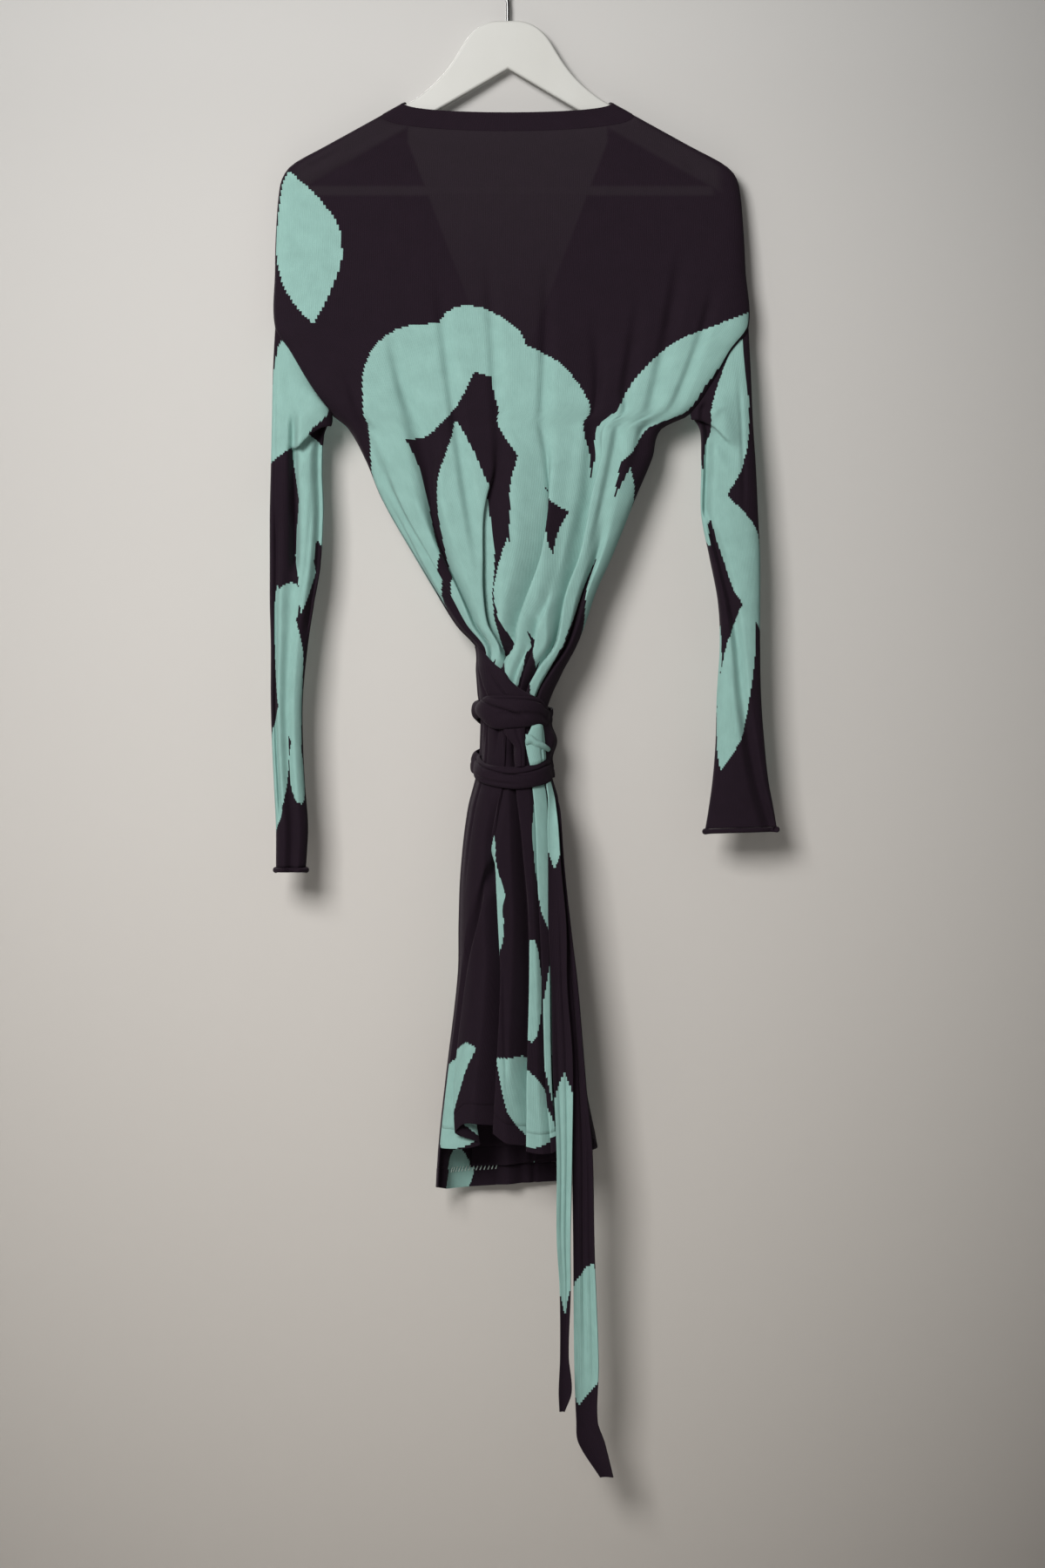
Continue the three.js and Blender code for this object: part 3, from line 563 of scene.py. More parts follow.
class Nodes:
    """A material's node tree with short ways to add nodes to it."""

    def __init__(self, name: str) -> None:
        """Starts a material called name with its output and its main shader."""
        self.material = bpy.data.materials.new(name)
        self.material.use_nodes = True
        self.tree = self.material.node_tree
        self.shader = self.tree.nodes["Principled BSDF"]

    def add(self, kind: str, inputs: dict, **settings: object) -> bpy.types.Node:
        """Adds a node.

        Args:
            kind: node type.
            inputs: values or output sockets by input name or number.
            settings: the node's own properties.

        Returns:
            The node.
        """
        node = self.tree.nodes.new(kind)
        for name, value in settings.items():
            setattr(node, name, value)
        for key, value in inputs.items():
            socket = node.inputs[key]
            if isinstance(value, bpy.types.NodeSocket):
                self.tree.links.new(value, socket)
            else:
                socket.default_value = value
        return node

    def math(self, operation: str, *values: object) -> bpy.types.NodeSocket:
        """Returns the result of a sum of numbers or sockets."""
        return self.add("ShaderNodeMath", dict(enumerate(values)), operation=operation).outputs[0]

    def blend(self, share: object, first: object, second: object) -> bpy.types.NodeSocket:
        """Returns the colour between first and second at a share."""
        node = self.tree.nodes.new("ShaderNodeMix")
        node.data_type = "RGBA"
        for socket, value in zip((node.inputs[0], node.inputs[6], node.inputs[7]), (share, first, second)):
            if isinstance(value, bpy.types.NodeSocket):
                self.tree.links.new(value, socket)
            else:
                socket.default_value = value
        return node.outputs[2]

    def drive(self, name: str, value: object) -> None:
        """Links or sets one input of the main shader."""
        if isinstance(value, bpy.types.NodeSocket):
            self.tree.links.new(value, self.shader.inputs[name])
        else:
            self.shader.inputs[name].default_value = value


@dataclass(frozen=True)
class Yarn:
    """A dyed yarn."""

    colour: tuple[float, float, float, float]
    slot: str


AUBERGINE = Yarn((0.0112, 0.0056, 0.011, 1), "aubergine_knit")
MINT = Yarn((0.247, 0.42, 0.388, 1), "mint_knit")


@dataclass(frozen=True)
class KnitFinish:
    """Fine plain knit in two yarns, with stepped edges where the colours meet."""

    name: str
    ground: Yarn
    figure: Yarn
    motifs: tuple[Motif, ...] = ()
    wale: float = 0.0019
    course: float = 0.0014
    step: tuple[float, float] = (0.0023, 0.0019)
    wander: float = 0.007
    # Painted light: these fields paint the yarn faintly paler where the hanger or the open neck lies behind the sheer
    # yoke.
    paints_hanger_through: bool = False
    paints_open_neck_through: bool = False
    painted_through_colour: tuple[float, float, float, float] = (0.45, 0.44, 0.42, 1)

    def figure_mask(self, nodes: Nodes, cloth_u: object, cloth_v: object) -> bpy.types.NodeSocket:
        """Builds the share of the second yarn.

        Args:
            nodes: the material.
            cloth_u: place across the cloth.
            cloth_v: place along the cloth.

        Returns:
            A socket, 1 inside the motifs and 0 outside.
        """
        u = nodes.math("SNAP", cloth_u, self.step[0])
        v = nodes.math("SNAP", cloth_v, self.step[1])
        place = nodes.add("ShaderNodeCombineXYZ", {0: u, 1: v}).outputs[0]
        noise = nodes.add("ShaderNodeTexNoise", {"Vector": place, "Scale": 13.0, "Detail": 1.5})
        shift = nodes.add(
            "ShaderNodeVectorMath", {0: noise.outputs["Color"], 1: (0.5, 0.5, 0.5)}, operation="SUBTRACT"
        ).outputs[0]
        place = nodes.add(
            "ShaderNodeVectorMath",
            {0: shift, 1: (self.wander * 2, self.wander * 2, 0), 2: place},
            operation="MULTIPLY_ADD",
        ).outputs[0]
        nearest: object = 9.0
        for motif in self.motifs:
            moved = nodes.add(
                "ShaderNodeMapping",
                {
                    "Vector": place,
                    "Location": (*motif.centre, 0),
                    "Rotation": (0, 0, math.radians(motif.turn)),
                    "Scale": (motif.length / 2, motif.width / 2, 1),
                },
                vector_type="TEXTURE",
            ).outputs[0]
            if motif.outline is Outline.PEBBLE:
                reach = nodes.add("ShaderNodeVectorMath", {0: moved}, operation="LENGTH").outputs["Value"]
            else:
                xyz = nodes.add("ShaderNodeSeparateXYZ", {0: moved})
                squared = nodes.math("MULTIPLY", xyz.outputs[0], xyz.outputs[0])
                reach = nodes.math("ADD", nodes.math("ABSOLUTE", xyz.outputs[1]), squared)
            nearest = nodes.math("MINIMUM", nearest, reach)
        return nodes.math("LESS_THAN", nearest, 1.0)

    def painted_show_through(self, nodes: Nodes) -> bpy.types.NodeSocket:
        """Finds where the white hanger, or the open neck, lies behind the sheer knit of the yoke, where light is
        painted in as paler yarn.

        Args:
            nodes: the material.

        Returns:
            A socket, the share of painted light by which the yarns are made paler there.
        """
        place = nodes.add("ShaderNodeSeparateXYZ", {0: nodes.add("ShaderNodeTexCoord", {}).outputs["Object"]})
        x = nodes.math("ABSOLUTE", place.outputs[0])
        z = place.outputs[2]

        def strip(off: object, half: float, soft: float) -> bpy.types.NodeSocket:
            """Returns 1 where off is within half of 0, with soft edges."""
            node = nodes.add(
                "ShaderNodeMapRange",
                {
                    "Value": nodes.math("ABSOLUTE", off),
                    "From Min": half - soft,
                    "From Max": half + soft,
                    "To Min": 1.0,
                    "To Max": 0.0,
                },
                interpolation_type="SMOOTHSTEP",
            )
            return node.outputs[0]

        # Painted light: faint pale strips where the hanger's arms and its bar lie behind the knit.
        arm_line = nodes.math("MULTIPLY_ADD", x, 0.572, nodes.math("ADD", z, 0.1160))
        arm = nodes.math("MULTIPLY", strip(arm_line, 0.0125, 0.003), strip(nodes.math("SUBTRACT", x, 0.130), 0.074, 0.006))
        bar = nodes.math("MULTIPLY", strip(nodes.math("ADD", z, 0.2445), 0.0045, 0.002), strip(x, 0.198, 0.004))
        show_through_light = nodes.math("MULTIPLY", nodes.math("MAXIMUM", arm, bar), 0.012)
        # Painted light: paler inside the open V of the neck, strongest near the top and fading downwards.
        if self.paints_open_neck_through:
            edge = nodes.math("MULTIPLY_ADD", z, 0.38, 0.171)
            inside = nodes.math("SUBTRACT", x, nodes.math("MINIMUM", edge, 0.096))
            open_neck = nodes.add(
                "ShaderNodeMapRange",
                {"Value": inside, "From Min": -0.002, "From Max": 0.002, "To Min": 1.0, "To Max": 0.0},
                interpolation_type="SMOOTHSTEP",
            ).outputs[0]
            fade = nodes.add(
                "ShaderNodeMapRange",
                {"Value": z, "From Min": -0.40, "From Max": -0.18, "To Min": 0.002, "To Max": 0.014},
            ).outputs[0]
            show_through_light = nodes.math("MAXIMUM", show_through_light, nodes.math("MULTIPLY", open_neck, fade))
        return show_through_light

    def make(self) -> bpy.types.Material:
        """Returns the material, made once for each name."""
        if self.name in bpy.data.materials:
            return bpy.data.materials[self.name]
        nodes = Nodes(self.name)
        cloth_map = nodes.add("ShaderNodeUVMap", {}, uv_map="cloth").outputs[0]
        xyz = nodes.add("ShaderNodeSeparateXYZ", {0: cloth_map})
        cloth_u, cloth_v = xyz.outputs[0], xyz.outputs[1]

        share = self.figure_mask(nodes, cloth_u, cloth_v) if self.motifs else 0.0
        colour = nodes.blend(share, self.ground.colour, self.figure.colour)
        stretched = nodes.add(
            "ShaderNodeMapping", {"Vector": cloth_map, "Scale": (700, 90, 1)}, vector_type="POINT"
        ).outputs[0]
        streaks = nodes.add("ShaderNodeTexNoise", {"Vector": stretched, "Scale": 1.0, "Detail": 2.0})
        patches = nodes.add("ShaderNodeTexNoise", {"Vector": cloth_map, "Scale": 60.0, "Detail": 4.0})
        heather = nodes.math("MULTIPLY_ADD", streaks.outputs["Fac"], 0.5, patches.outputs["Fac"])
        heather = nodes.add(
            "ShaderNodeMapRange", {"Value": heather, "From Min": 0.45, "From Max": 1.05, "To Min": 0.0, "To Max": 1.0}
        ).outputs[0]
        dimmed = nodes.blend(0.16, colour, (0.0, 0.0, 0.0, 1))
        colour = nodes.blend(heather, dimmed, colour)
        # Painted light: the yarns are painted paler where the hanger or the open neck lies behind the knit.
        if self.paints_hanger_through:
            colour = nodes.blend(self.painted_show_through(nodes), colour, self.painted_through_colour)
        nodes.drive("Base Color", colour)

        wales = nodes.math("ABSOLUTE", nodes.math("SINE", nodes.math("MULTIPLY", cloth_u, math.pi / self.wale)))
        slant = nodes.math("MULTIPLY_ADD", nodes.math("PINGPONG", cloth_u, self.wale / 2), 1.1, cloth_v)
        courses = nodes.math("ABSOLUTE", nodes.math("SINE", nodes.math("MULTIPLY", slant, math.pi / self.course)))
        stitch = nodes.math("MULTIPLY_ADD", wales, 0.6, nodes.math("MULTIPLY", courses, 0.4))
        uneven = nodes.math("MULTIPLY_ADD", patches.outputs["Fac"], 0.5, stitch)
        relief = nodes.add("ShaderNodeBump", {"Height": uneven, "Distance": 0.0005, "Strength": 0.5})
        nodes.drive("Normal", relief.outputs[0])
        nodes.drive("Roughness", nodes.math("MULTIPLY_ADD", stitch, -0.12, 0.92))
        nodes.drive("Sheen Weight", 0.04)
        nodes.drive("Sheen Roughness", 0.45)
        nodes.drive("Sheen Tint", (0.9, 0.72, 0.85, 1))
        nodes.drive("Specular IOR Level", 0.12)
        return nodes.material


@dataclass(frozen=True)
class LacquerFinish:
    """Satin white lacquer over turned and sanded wood."""

    name: str = "satin_white_lacquer"
    colour: tuple[float, float, float, float] = (0.475, 0.48, 0.468, 1)

    def make(self) -> bpy.types.Material:
        """Returns the material, made once."""
        if self.name in bpy.data.materials:
            return bpy.data.materials[self.name]
        nodes = Nodes(self.name)
        place = nodes.add("ShaderNodeTexCoord", {}).outputs["Object"]
        cloud = nodes.add("ShaderNodeTexNoise", {"Vector": place, "Scale": 18.0, "Detail": 3.0})
        peel = nodes.add("ShaderNodeTexNoise", {"Vector": place, "Scale": 420.0, "Detail": 2.0})
        soiled = (self.colour[0] * 0.93, self.colour[1] * 0.925, self.colour[2] * 0.9, 1)
        nodes.drive("Base Color", nodes.blend(cloud.outputs["Fac"], soiled, self.colour))
        nodes.drive("Roughness", nodes.math("MULTIPLY_ADD", cloud.outputs["Fac"], 0.16, 0.3))
        relief = nodes.add("ShaderNodeBump", {"Height": peel.outputs["Fac"], "Distance": 0.0001, "Strength": 0.25})
        nodes.drive("Normal", relief.outputs[0])
        return nodes.material


@dataclass(frozen=True)
class WireFinish:
    """Polished steel wire with faint drawing marks."""

    name: str = "polished_steel_wire"

    def make(self) -> bpy.types.Material:
        """Returns the material, made once."""
        if self.name in bpy.data.materials:
            return bpy.data.materials[self.name]
        nodes = Nodes(self.name)
        place = nodes.add("ShaderNodeTexCoord", {}).outputs["Object"]
        marks = nodes.add("ShaderNodeTexNoise", {"Vector": place, "Scale": 900.0, "Detail": 2.0})
        nodes.drive("Base Color", nodes.blend(marks.outputs["Fac"], (0.10, 0.10, 0.10, 1), (0.17, 0.17, 0.17, 1)))
        nodes.drive("Metallic", 1.0)
        nodes.drive("Roughness", nodes.math("MULTIPLY_ADD", marks.outputs["Fac"], 0.15, 0.16))
        return nodes.material


Finish = KnitFinish | LacquerFinish | WireFinish


def show(name: str, mesh: bpy.types.Mesh, finish: Finish, nodes: tuple[str, ...]) -> bpy.types.Object:
    """Puts a finished mesh into the scene in place of its CAD nodes.

    Args:
        name: piece name.
        mesh: its mesh, in metres and in place.
        finish: what it is made of.
        nodes: CAD nodes that it stands for.

    Returns:
        The piece.
    """
    mesh.materials.append(finish.make())
    mesh.polygons.foreach_set("use_smooth", [True] * len(mesh.polygons))
    piece = bpy.data.objects.new(name, mesh)
    bpy.context.scene.collection.objects.link(piece)
    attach(piece, "root")
    if nodes:
        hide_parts(*nodes)
    log.info("%s: %d faces", name, len(mesh.polygons))
    return piece


@dataclass
class Sheet:
    """A grid of cloth laid on a surface, with the flat cloth's own coordinates."""

    name: str
    cols: int
    rows: int
    surface: Surface
    width: Callable[[np.ndarray], np.ndarray]
    length: tuple[float, float]
    thickness: float
    loop: bool = False
    tube: bool = False
    soft_rim: float = 0.0
    solid: bool = False

    def mesh(self) -> bpy.types.Mesh:
        """Returns the mesh of the cloth's middle surface."""
        grid = bmesh.new()
        bmesh.ops.create_grid(grid, x_segments=self.cols, y_segments=self.rows, size=0.5)
        mesh = bpy.data.meshes.new(self.name)
        grid.to_mesh(mesh)
        grid.free()
        flat = np.empty(len(mesh.vertices) * 3)
        mesh.vertices.foreach_get("co", flat)
        flat = flat.reshape(-1, 3)
        i = np.rint((flat[:, 0] + 0.5) * self.cols).astype(int)
        j = np.rint((0.5 - flat[:, 1]) * self.rows).astype(int)
        v, u = np.meshgrid(np.linspace(0, 1, self.rows + 1), np.linspace(0, 1, self.cols + 1), indexing="ij")
        points = self.surface(u, v) * MM
        run = np.cumsum(np.linalg.norm(np.diff(points, axis=1), axis=2), axis=1)
        run = np.concatenate([np.zeros((self.rows + 1, 1)), run], axis=1)
        share = run / np.maximum(run[:, -1:], 1e-9) - 0.5
        cloth_u = share * self.width(v[:, :1]) * MM
        cloth_v = mix(self.length[0], self.length[1], v) * MM
        mesh.vertices.foreach_set("co", points[j, i].ravel())
        corner = np.empty(len(mesh.loops), np.int32)
        mesh.loops.foreach_get("vertex_index", corner)
        layer = mesh.uv_layers.new(name="cloth")
        places = np.stack([cloth_u[j, i][corner], cloth_v[j, i][corner]], axis=-1)
        layer.data.foreach_set("uv", places.astype(np.float32).ravel())
        self.close(mesh)
        return mesh

    def close(self, mesh: bpy.types.Mesh) -> None:
        """Joins the ends of a loop or a tube and turns the faces one way.

        Args:
            mesh: the mesh to close.
        """
        work = bmesh.new()
        work.from_mesh(mesh)
        if self.loop or self.tube:
            bmesh.ops.remove_doubles(work, verts=work.verts, dist=1e-6)
        bmesh.ops.recalc_face_normals(work, faces=work.faces)
        work.to_mesh(mesh)
        work.free()

    def lay(self, finish: KnitFinish, nodes: tuple[str, ...] = ()) -> bpy.types.Object:
        """Puts the cloth in the scene with its thickness.

        Args:
            finish: the knit.
            nodes: CAD nodes that it stands for.

        Returns:
            The piece.
        """
        piece = show(self.name, self.mesh(), finish, nodes)
        if not self.solid:
            wall = piece.modifiers.new("thickness", "SOLIDIFY")
            wall.thickness = self.thickness * MM
            wall.offset = 0.0
            wall.use_quality_normals = True
        if self.soft_rim:
            rim = piece.modifiers.new("rim", "BEVEL")
            rim.width = self.soft_rim * MM
            rim.segments = 2
            rim.limit_method = "ANGLE"
            rim.angle_limit = math.radians(60)
        return piece


def steady(value: float) -> Callable[[np.ndarray], np.ndarray]:
    """Returns a function of place that is always value."""
    return lambda v: np.full_like(v, value, dtype=float)


@dataclass
class Back:
    """The full-length back with its neckband and its hem."""

    form: Form
    finish: KnitFinish
    cols: int = 228
    rows: int = 190
    top: float = -170
    foot: float = -1145
    neck_dip: float = 11
    tuck_in: float = 1.4
    band_shoulder: float = 10
    band_middle: float = 18
    hem_height: float = 19
    hem_seam: float = 1.5
    cut: Table = Table("z width", ((-158, 210), (-227, 430), (-374, 456), (-470, 440), (-722, 380), (-1164, 440)))
    edge: Table = Table(
        "u z",
        (
            (0, -1163),
            (0.12, -1163),
            (0.24, -1140),
            (0.36, -1143),
            (0.46, -1158),
            (0.6, -1167),
            (0.74, -1158),
            (0.88, -1152),
            (1, -1161),
        ),
    )

    def neck_line(self, theta: np.ndarray) -> np.ndarray:
        """Returns the height of the neck edge."""
        return NECK_TOP - self.neck_dip * np.sin(theta)

    def band_height(self, theta: np.ndarray) -> np.ndarray:
        """Returns the width of the neckband."""
        return mix(self.band_shoulder, self.band_middle, np.sin(theta))

    def panel(self, u: np.ndarray, v: np.ndarray) -> np.ndarray:
        """Returns points of the panel between neckband and hem."""
        theta = u * math.pi
        z = mix(self.top, self.foot, v)
        top = self.neck_line(theta) - self.band_height(theta) + self.tuck_in
        foot = self.edge.at("z", u) + self.hem_height - self.tuck_in
        upper = smooth(YOKE_END, self.top, z)
        lower = np.clip((z - SKIRT_TOP) / (self.foot - SKIRT_TOP), 0, 1)
        z = z + (top - self.top) * upper + (foot - self.foot) * lower
        return self.form.cloth(Half.BACK, theta, z, np.zeros_like(z))

    def neckband(self, u: np.ndarray, v: np.ndarray) -> np.ndarray:
        """Returns points of the neckband, with the soft welt of its doubled edge."""
        theta = u * math.pi
        z = self.neck_line(theta) - v * self.band_height(theta)
        return self.form.cloth(Half.BACK, theta, z, 0.3 * bump((v - 0.1) / 0.1) - 0.25 * bump((v - 0.9) / 0.1))

    def hem(self, u: np.ndarray, v: np.ndarray) -> np.ndarray:
        """Returns points of the hem."""
        z = self.edge.at("z", u) + (self.hem_height - self.hem_seam * 0.4) * (1 - v)
        return self.form.cloth(Half.BACK, u * math.pi, z, np.zeros_like(z))

    def build(self) -> list[bpy.types.Object]:
        """Returns the back's pieces."""
        width = lambda v: self.cut.at("width", mix(self.top, self.foot, v))
        panel = Sheet("back_panel", self.cols, self.rows, self.panel, width, (self.top, self.foot), 0.9)
        band = Sheet("back_neckband", 120, 10, self.neckband, steady(210), (-158, -176), 1.9, soft_rim=0.6)
        hem = Sheet("back_hem", 220, 8, self.hem, steady(440), (self.foot, -1164), 1.0, soft_rim=0.15)
        pieces = [
            panel.lay(self.finish, ("back",)),
            band.lay(PLAIN_DARK, ("neckband_back",)),
            hem.lay(self.finish, ("hem_back",)),
        ]
        return pieces


@dataclass
class Front:
    """One wrapped front with the band of its free edge and its hem."""

    form: Form
    finish: KnitFinish
    hand: Hand
    label: str
    lift: float
    edge: Table
    cut_width: Table
    flat: tuple[float, float, float]
    cols: int = 96
    rows: int = 210
    top: float = -171
    foot: float = -1170
    band_width: float = 18
    band_shoulder: float = 10
    band_stand: float = 0.7
    edge_gap: float = -0.03
    tuck_in: float = 1.4
    hem_height: float = 19
    hem_seam: float = 0.6
    stitch_count: int = 0
    stitch_reach: tuple[float, float] = (0.27, 0.57)

    def edge_angle(self, z: np.ndarray) -> np.ndarray:
        """Returns the angle of the free edge from the front's own seam."""
        return np.arccos(-np.clip(self.form.outline.at("over", z), -1, 1))

    def band_angle(self, z: np.ndarray) -> np.ndarray:
        """Returns the angle where the edge band meets the panel."""
        theta = self.edge_angle(z)
        half = (self.form.outline.at("right", z) - self.form.outline.at("left", z)) / 2
        speed = np.hypot(half * np.sin(theta), self.form.outline.at("front", z) * np.cos(theta))
        shift = self.band_width * np.sin(theta) / np.maximum(speed, 1e-6)
        return np.arccos(-np.maximum(-1, self.form.outline.at("over", z) - shift))

    def place(self, theta: np.ndarray, z: np.ndarray, more: np.ndarray) -> np.ndarray:
        """Places points of this front.

        Args:
            theta: angle from its own seam.
            z: heights.
            more: extra distance outwards.

        Returns:
            Points as rows of x, y, z.
        """
        turned = theta if self.hand is Hand.LEFT else math.pi - theta
        raised = self.lift * smooth(0, LIFT_RAMP, theta) * smooth(NECK_TOP, YOKE_END, z)
        return self.form.cloth(Half.FRONT, turned, z, raised + more)

    def hem_line(self, theta: np.ndarray) -> np.ndarray:
        """Returns the height of the lower edge."""
        share = theta / math.pi
        return self.edge.at("z", share if self.hand is Hand.LEFT else 1 - share)

    def row(self, z: np.ndarray, first: float, top: float, theta: np.ndarray) -> np.ndarray:
        """Eases a row's height to the neck and to the hem.

        Args:
            z: even heights.
            first: the first even height.
            top: height that the first row takes.
            theta: angle from the front's own seam.

        Returns:
            The heights of the row's points.
        """
        lower = np.clip((z - SKIRT_TOP) / (self.foot - SKIRT_TOP), 0, 1)
        return z + (top - first) * smooth(YOKE_END, first, z) + (self.hem_line(theta) + self.hem_height - self.foot) * lower

    def panel(self, u: np.ndarray, v: np.ndarray) -> np.ndarray:
        """Returns points of the panel."""
        z = mix(self.top, self.foot, v)
        theta = u * (self.band_angle(z) - self.edge_gap)
        z = self.row(z, self.top, self.top, theta)
        return self.place(theta, z - self.tuck_in * smooth(0.9, 1, v), np.zeros_like(z))

    def band(self, u: np.ndarray, v: np.ndarray) -> np.ndarray:
        """Returns points of the edge band; u runs from the free edge inwards."""
        z0 = mix(NECK_TOP, self.foot, v)
        slant = self.band_shoulder * smooth(YOKE_END, NECK_TOP, z0) * u
        theta = mix(self.edge_angle(z0 - slant), self.band_angle(z0 - slant), u)
        points = self.place(theta, self.row(z0, NECK_TOP, NECK_TOP, theta) - slant, 0.3 * bump((u - 0.1) / 0.1))
        points[..., 1] += self.band_stand * smooth(-171, NECK_TOP, z0)
        return points

    def hem(self, u: np.ndarray, v: np.ndarray) -> np.ndarray:
        """Returns points of the hem."""
        theta = u * self.edge_angle(np.full_like(u, BACK_HEM))
        z = self.hem_line(theta) + (self.hem_height - self.hem_seam * 0.5) * (1 - v)
        return self.place(theta, z, 0.2 * bump((v - 0.06) / 0.06))

    def stitches(self) -> bpy.types.Object:
        """Sews the slanting stitches that hold the hem inside.

        Returns:
            The piece that holds them all.
        """
        count, reach = self.stitch_count, self.stitch_reach
        work = bmesh.new()
        where = np.linspace(reach[0], reach[1], count)
        span = 0.6 * (reach[1] - reach[0]) / count
        ends = self.hem(np.stack([where, where + span], -1), np.tile([0.16, -0.12], (count, 1)))
        inward = self.hem(where, np.zeros(count))
        for (start, end), middle in zip(ends, inward):
            toward = Vector((0, -1, 0)) * (BAND / 2 + 0.35) * MM
            a, b = Vector(start) * MM + toward, Vector(end) * MM + toward
            made = bmesh.ops.create_cone(
                work, cap_ends=True, segments=6, radius1=0.0005, radius2=0.0004, depth=(b - a).length
            )
            turn = (b - a).to_track_quat("Z", "Y").to_matrix().to_4x4()
            bmesh.ops.transform(work, matrix=Matrix.Translation((a + b) / 2) @ turn, verts=made["verts"])
        mesh = bpy.data.meshes.new(f"{self.label}_hem_stitches")
        work.to_mesh(mesh)
        work.free()
        mesh.uv_layers.new(name="cloth")
        return show(f"{self.label}_hem_stitches", mesh, PALE_THREAD, ())

    def build(self) -> list[bpy.types.Object]:
        """Returns the front's pieces."""
        name = self.label
        width = lambda v: self.cut_width.at("width", mix(self.top, self.foot, v))
        panel = Sheet(f"front_{name}_panel", self.cols, self.rows, self.panel, width, (self.top, self.foot), 0.9)
        band = Sheet(f"front_{name}_band", 10, 260, self.band, steady(18), (NECK_TOP, self.foot), 1.9, soft_rim=0.6)
        hem = Sheet(f"front_{name}_hem", 130, 8, self.hem, steady(330), (self.foot, -1190), 1.3, soft_rim=0.4)
        pieces = [
            panel.lay(self.finish, (f"front_{name}",)),
            band.lay(PLAIN_DARK, (f"band_{name}",)),
            hem.lay(self.finish, (f"hem_{name}",)),
        ]
        if self.stitch_count:
            pieces.append(self.stitches())
        return pieces


@dataclass(frozen=True)
class SleeveFold:
    """A long trough of a sleeve; turn is the place round it, 0 at its outer edge."""

    turn: float
    end_turn: float
    start: float
    end: float
    width: float
    depth: float

    def depth_at(self, turn: np.ndarray, v: np.ndarray) -> np.ndarray:
        """Returns the trough's depth at places round and along the sleeve."""
        k = (v - self.start) / (self.end - self.start)
        ease = smooth(0, 0.15, k) * smooth(1, 0.9, k) * ((k > 0) & (k < 1))
        return self.depth * ease * bump((turn - mix(self.turn, self.end_turn, k)) / self.width)


@dataclass
class Sleeve:
    """A long sleeve, slack at the underarm, with the knit's own roll at the cuff."""

    form: Form
    finish: KnitFinish
    hand: Hand
    rings: Table
    folds: tuple[SleeveFold, ...]
    creases: tuple[Crease, ...]
    flat: tuple[float, float, float]
    nodes: tuple[str, ...]
    cols: int = 112
    rows: int = 230
    gap: float = -0.3
    roll: float = 2.3
    slack: float = 9.0
    droop: float = 13.0

    def underarm(self, turn: np.ndarray, v: np.ndarray) -> np.ndarray:
        """Hangs the slack cloth under the arm out and down over the sleeve.

        Args:
            turn: place round the sleeve.
            v: place along it.

        Returns:
            How far each place moves, as rows of x, y, z.
        """
        foot = mix(0.185, 0.06, smooth(0.2, 0.5, turn))
        here = smooth(0.17, 0.27, turn) * smooth(0.55, 0.45, turn)
        out = smooth(foot - 0.12, foot - 0.01, v) * smooth(foot + 0.03, foot, v)
        under = bump((v - foot - 0.05) / 0.04)
        down = bump((v - foot) / 0.032)
        y = -self.slack * out + 0.4 * self.slack * under
        return np.stack([np.zeros_like(y), y * here, -self.droop * down * here], axis=-1)

    def ring(self, turn: np.ndarray, v: np.ndarray) -> np.ndarray:
        """Places points of the sleeve.

        Args:
            turn: place round it, 0 outer edge, 0.25 mid back, 0.5 inner edge.
            v: place along it, 0 at the armhole and 1 at the cuff.

        Returns:
            Points as rows of x, y, z.
        """
        angle = turn * 2 * math.pi
        t = (1 - np.cos(angle)) / 2
        x = mix(self.rings.at("outerX", v), self.rings.at("innerX", v), t)
        z = mix(self.rings.at("outerZ", v), self.rings.at("innerZ", v), t)
        side = -np.sin(angle)
        depth = self.rings.at("depth", v) * np.abs(side) ** 0.8
        trough = total(self.folds, turn, v) + total(self.creases, turn * 200, v * 460) * np.abs(side) ** 0.5
        y = np.sign(side) * (depth - trough)
        point = np.stack([x, y, z], axis=-1)
        seam_z = mix(ARMHOLE_TOP, UNDERARM, t)
        seam = np.stack(
            [
                self.form.outline.at("left" if self.hand is Hand.LEFT else "right", seam_z)
                + self.hand.value * self.gap,
                np.sign(side) * self.form.armhole(seam_z),
                seam_z - self.gap,
            ],
            axis=-1,
        )
        ease = smooth(0, 0.1, v)[..., None]
        return seam * (1 - ease) + point * ease + self.underarm(turn, v)

    def cuff(self, u: np.ndarray, v: np.ndarray) -> np.ndarray:
        """Returns points of the roll at the cuff; v runs round the roll."""
        point = self.ring(u, np.ones_like(u))
        angle = v * 2 * math.pi
        corner = bump((np.mod(u + 0.5, 1) - 0.5) / 0.1) + bump((u - 0.5) / 0.1)
        size = self.roll * (1 + 0.3 * corner)
        centre = point.mean(axis=(0, 1))
        away = point[..., :2] - centre[:2]
        away = away / np.maximum(np.linalg.norm(away, axis=-1, keepdims=True), 1e-6)
        point[..., :2] += away * (size * np.cos(angle) + 0.5)[..., None]
        point[..., 2] += -SEAM - self.roll + size * np.sin(angle)
        return point

    def build(self) -> list[bpy.types.Object]:
        """Returns the sleeve's pieces."""
        side = self.hand.name.lower()
        tube = Sheet(
            f"sleeve_{side}_tube", self.cols, self.rows, self.ring, steady(self.flat[0] * 1000), (0, -480), 0.9, loop=True
        )
        cuff = Sheet(
            f"sleeve_{side}_cuff", self.cols, 14, self.cuff, steady(160), (0, -16), 1.0, tube=True, solid=True
        )
        pieces = [tube.lay(self.finish, self.nodes), cuff.lay(PLAIN_DARK, (f"cuff_{side}",))]
        return pieces


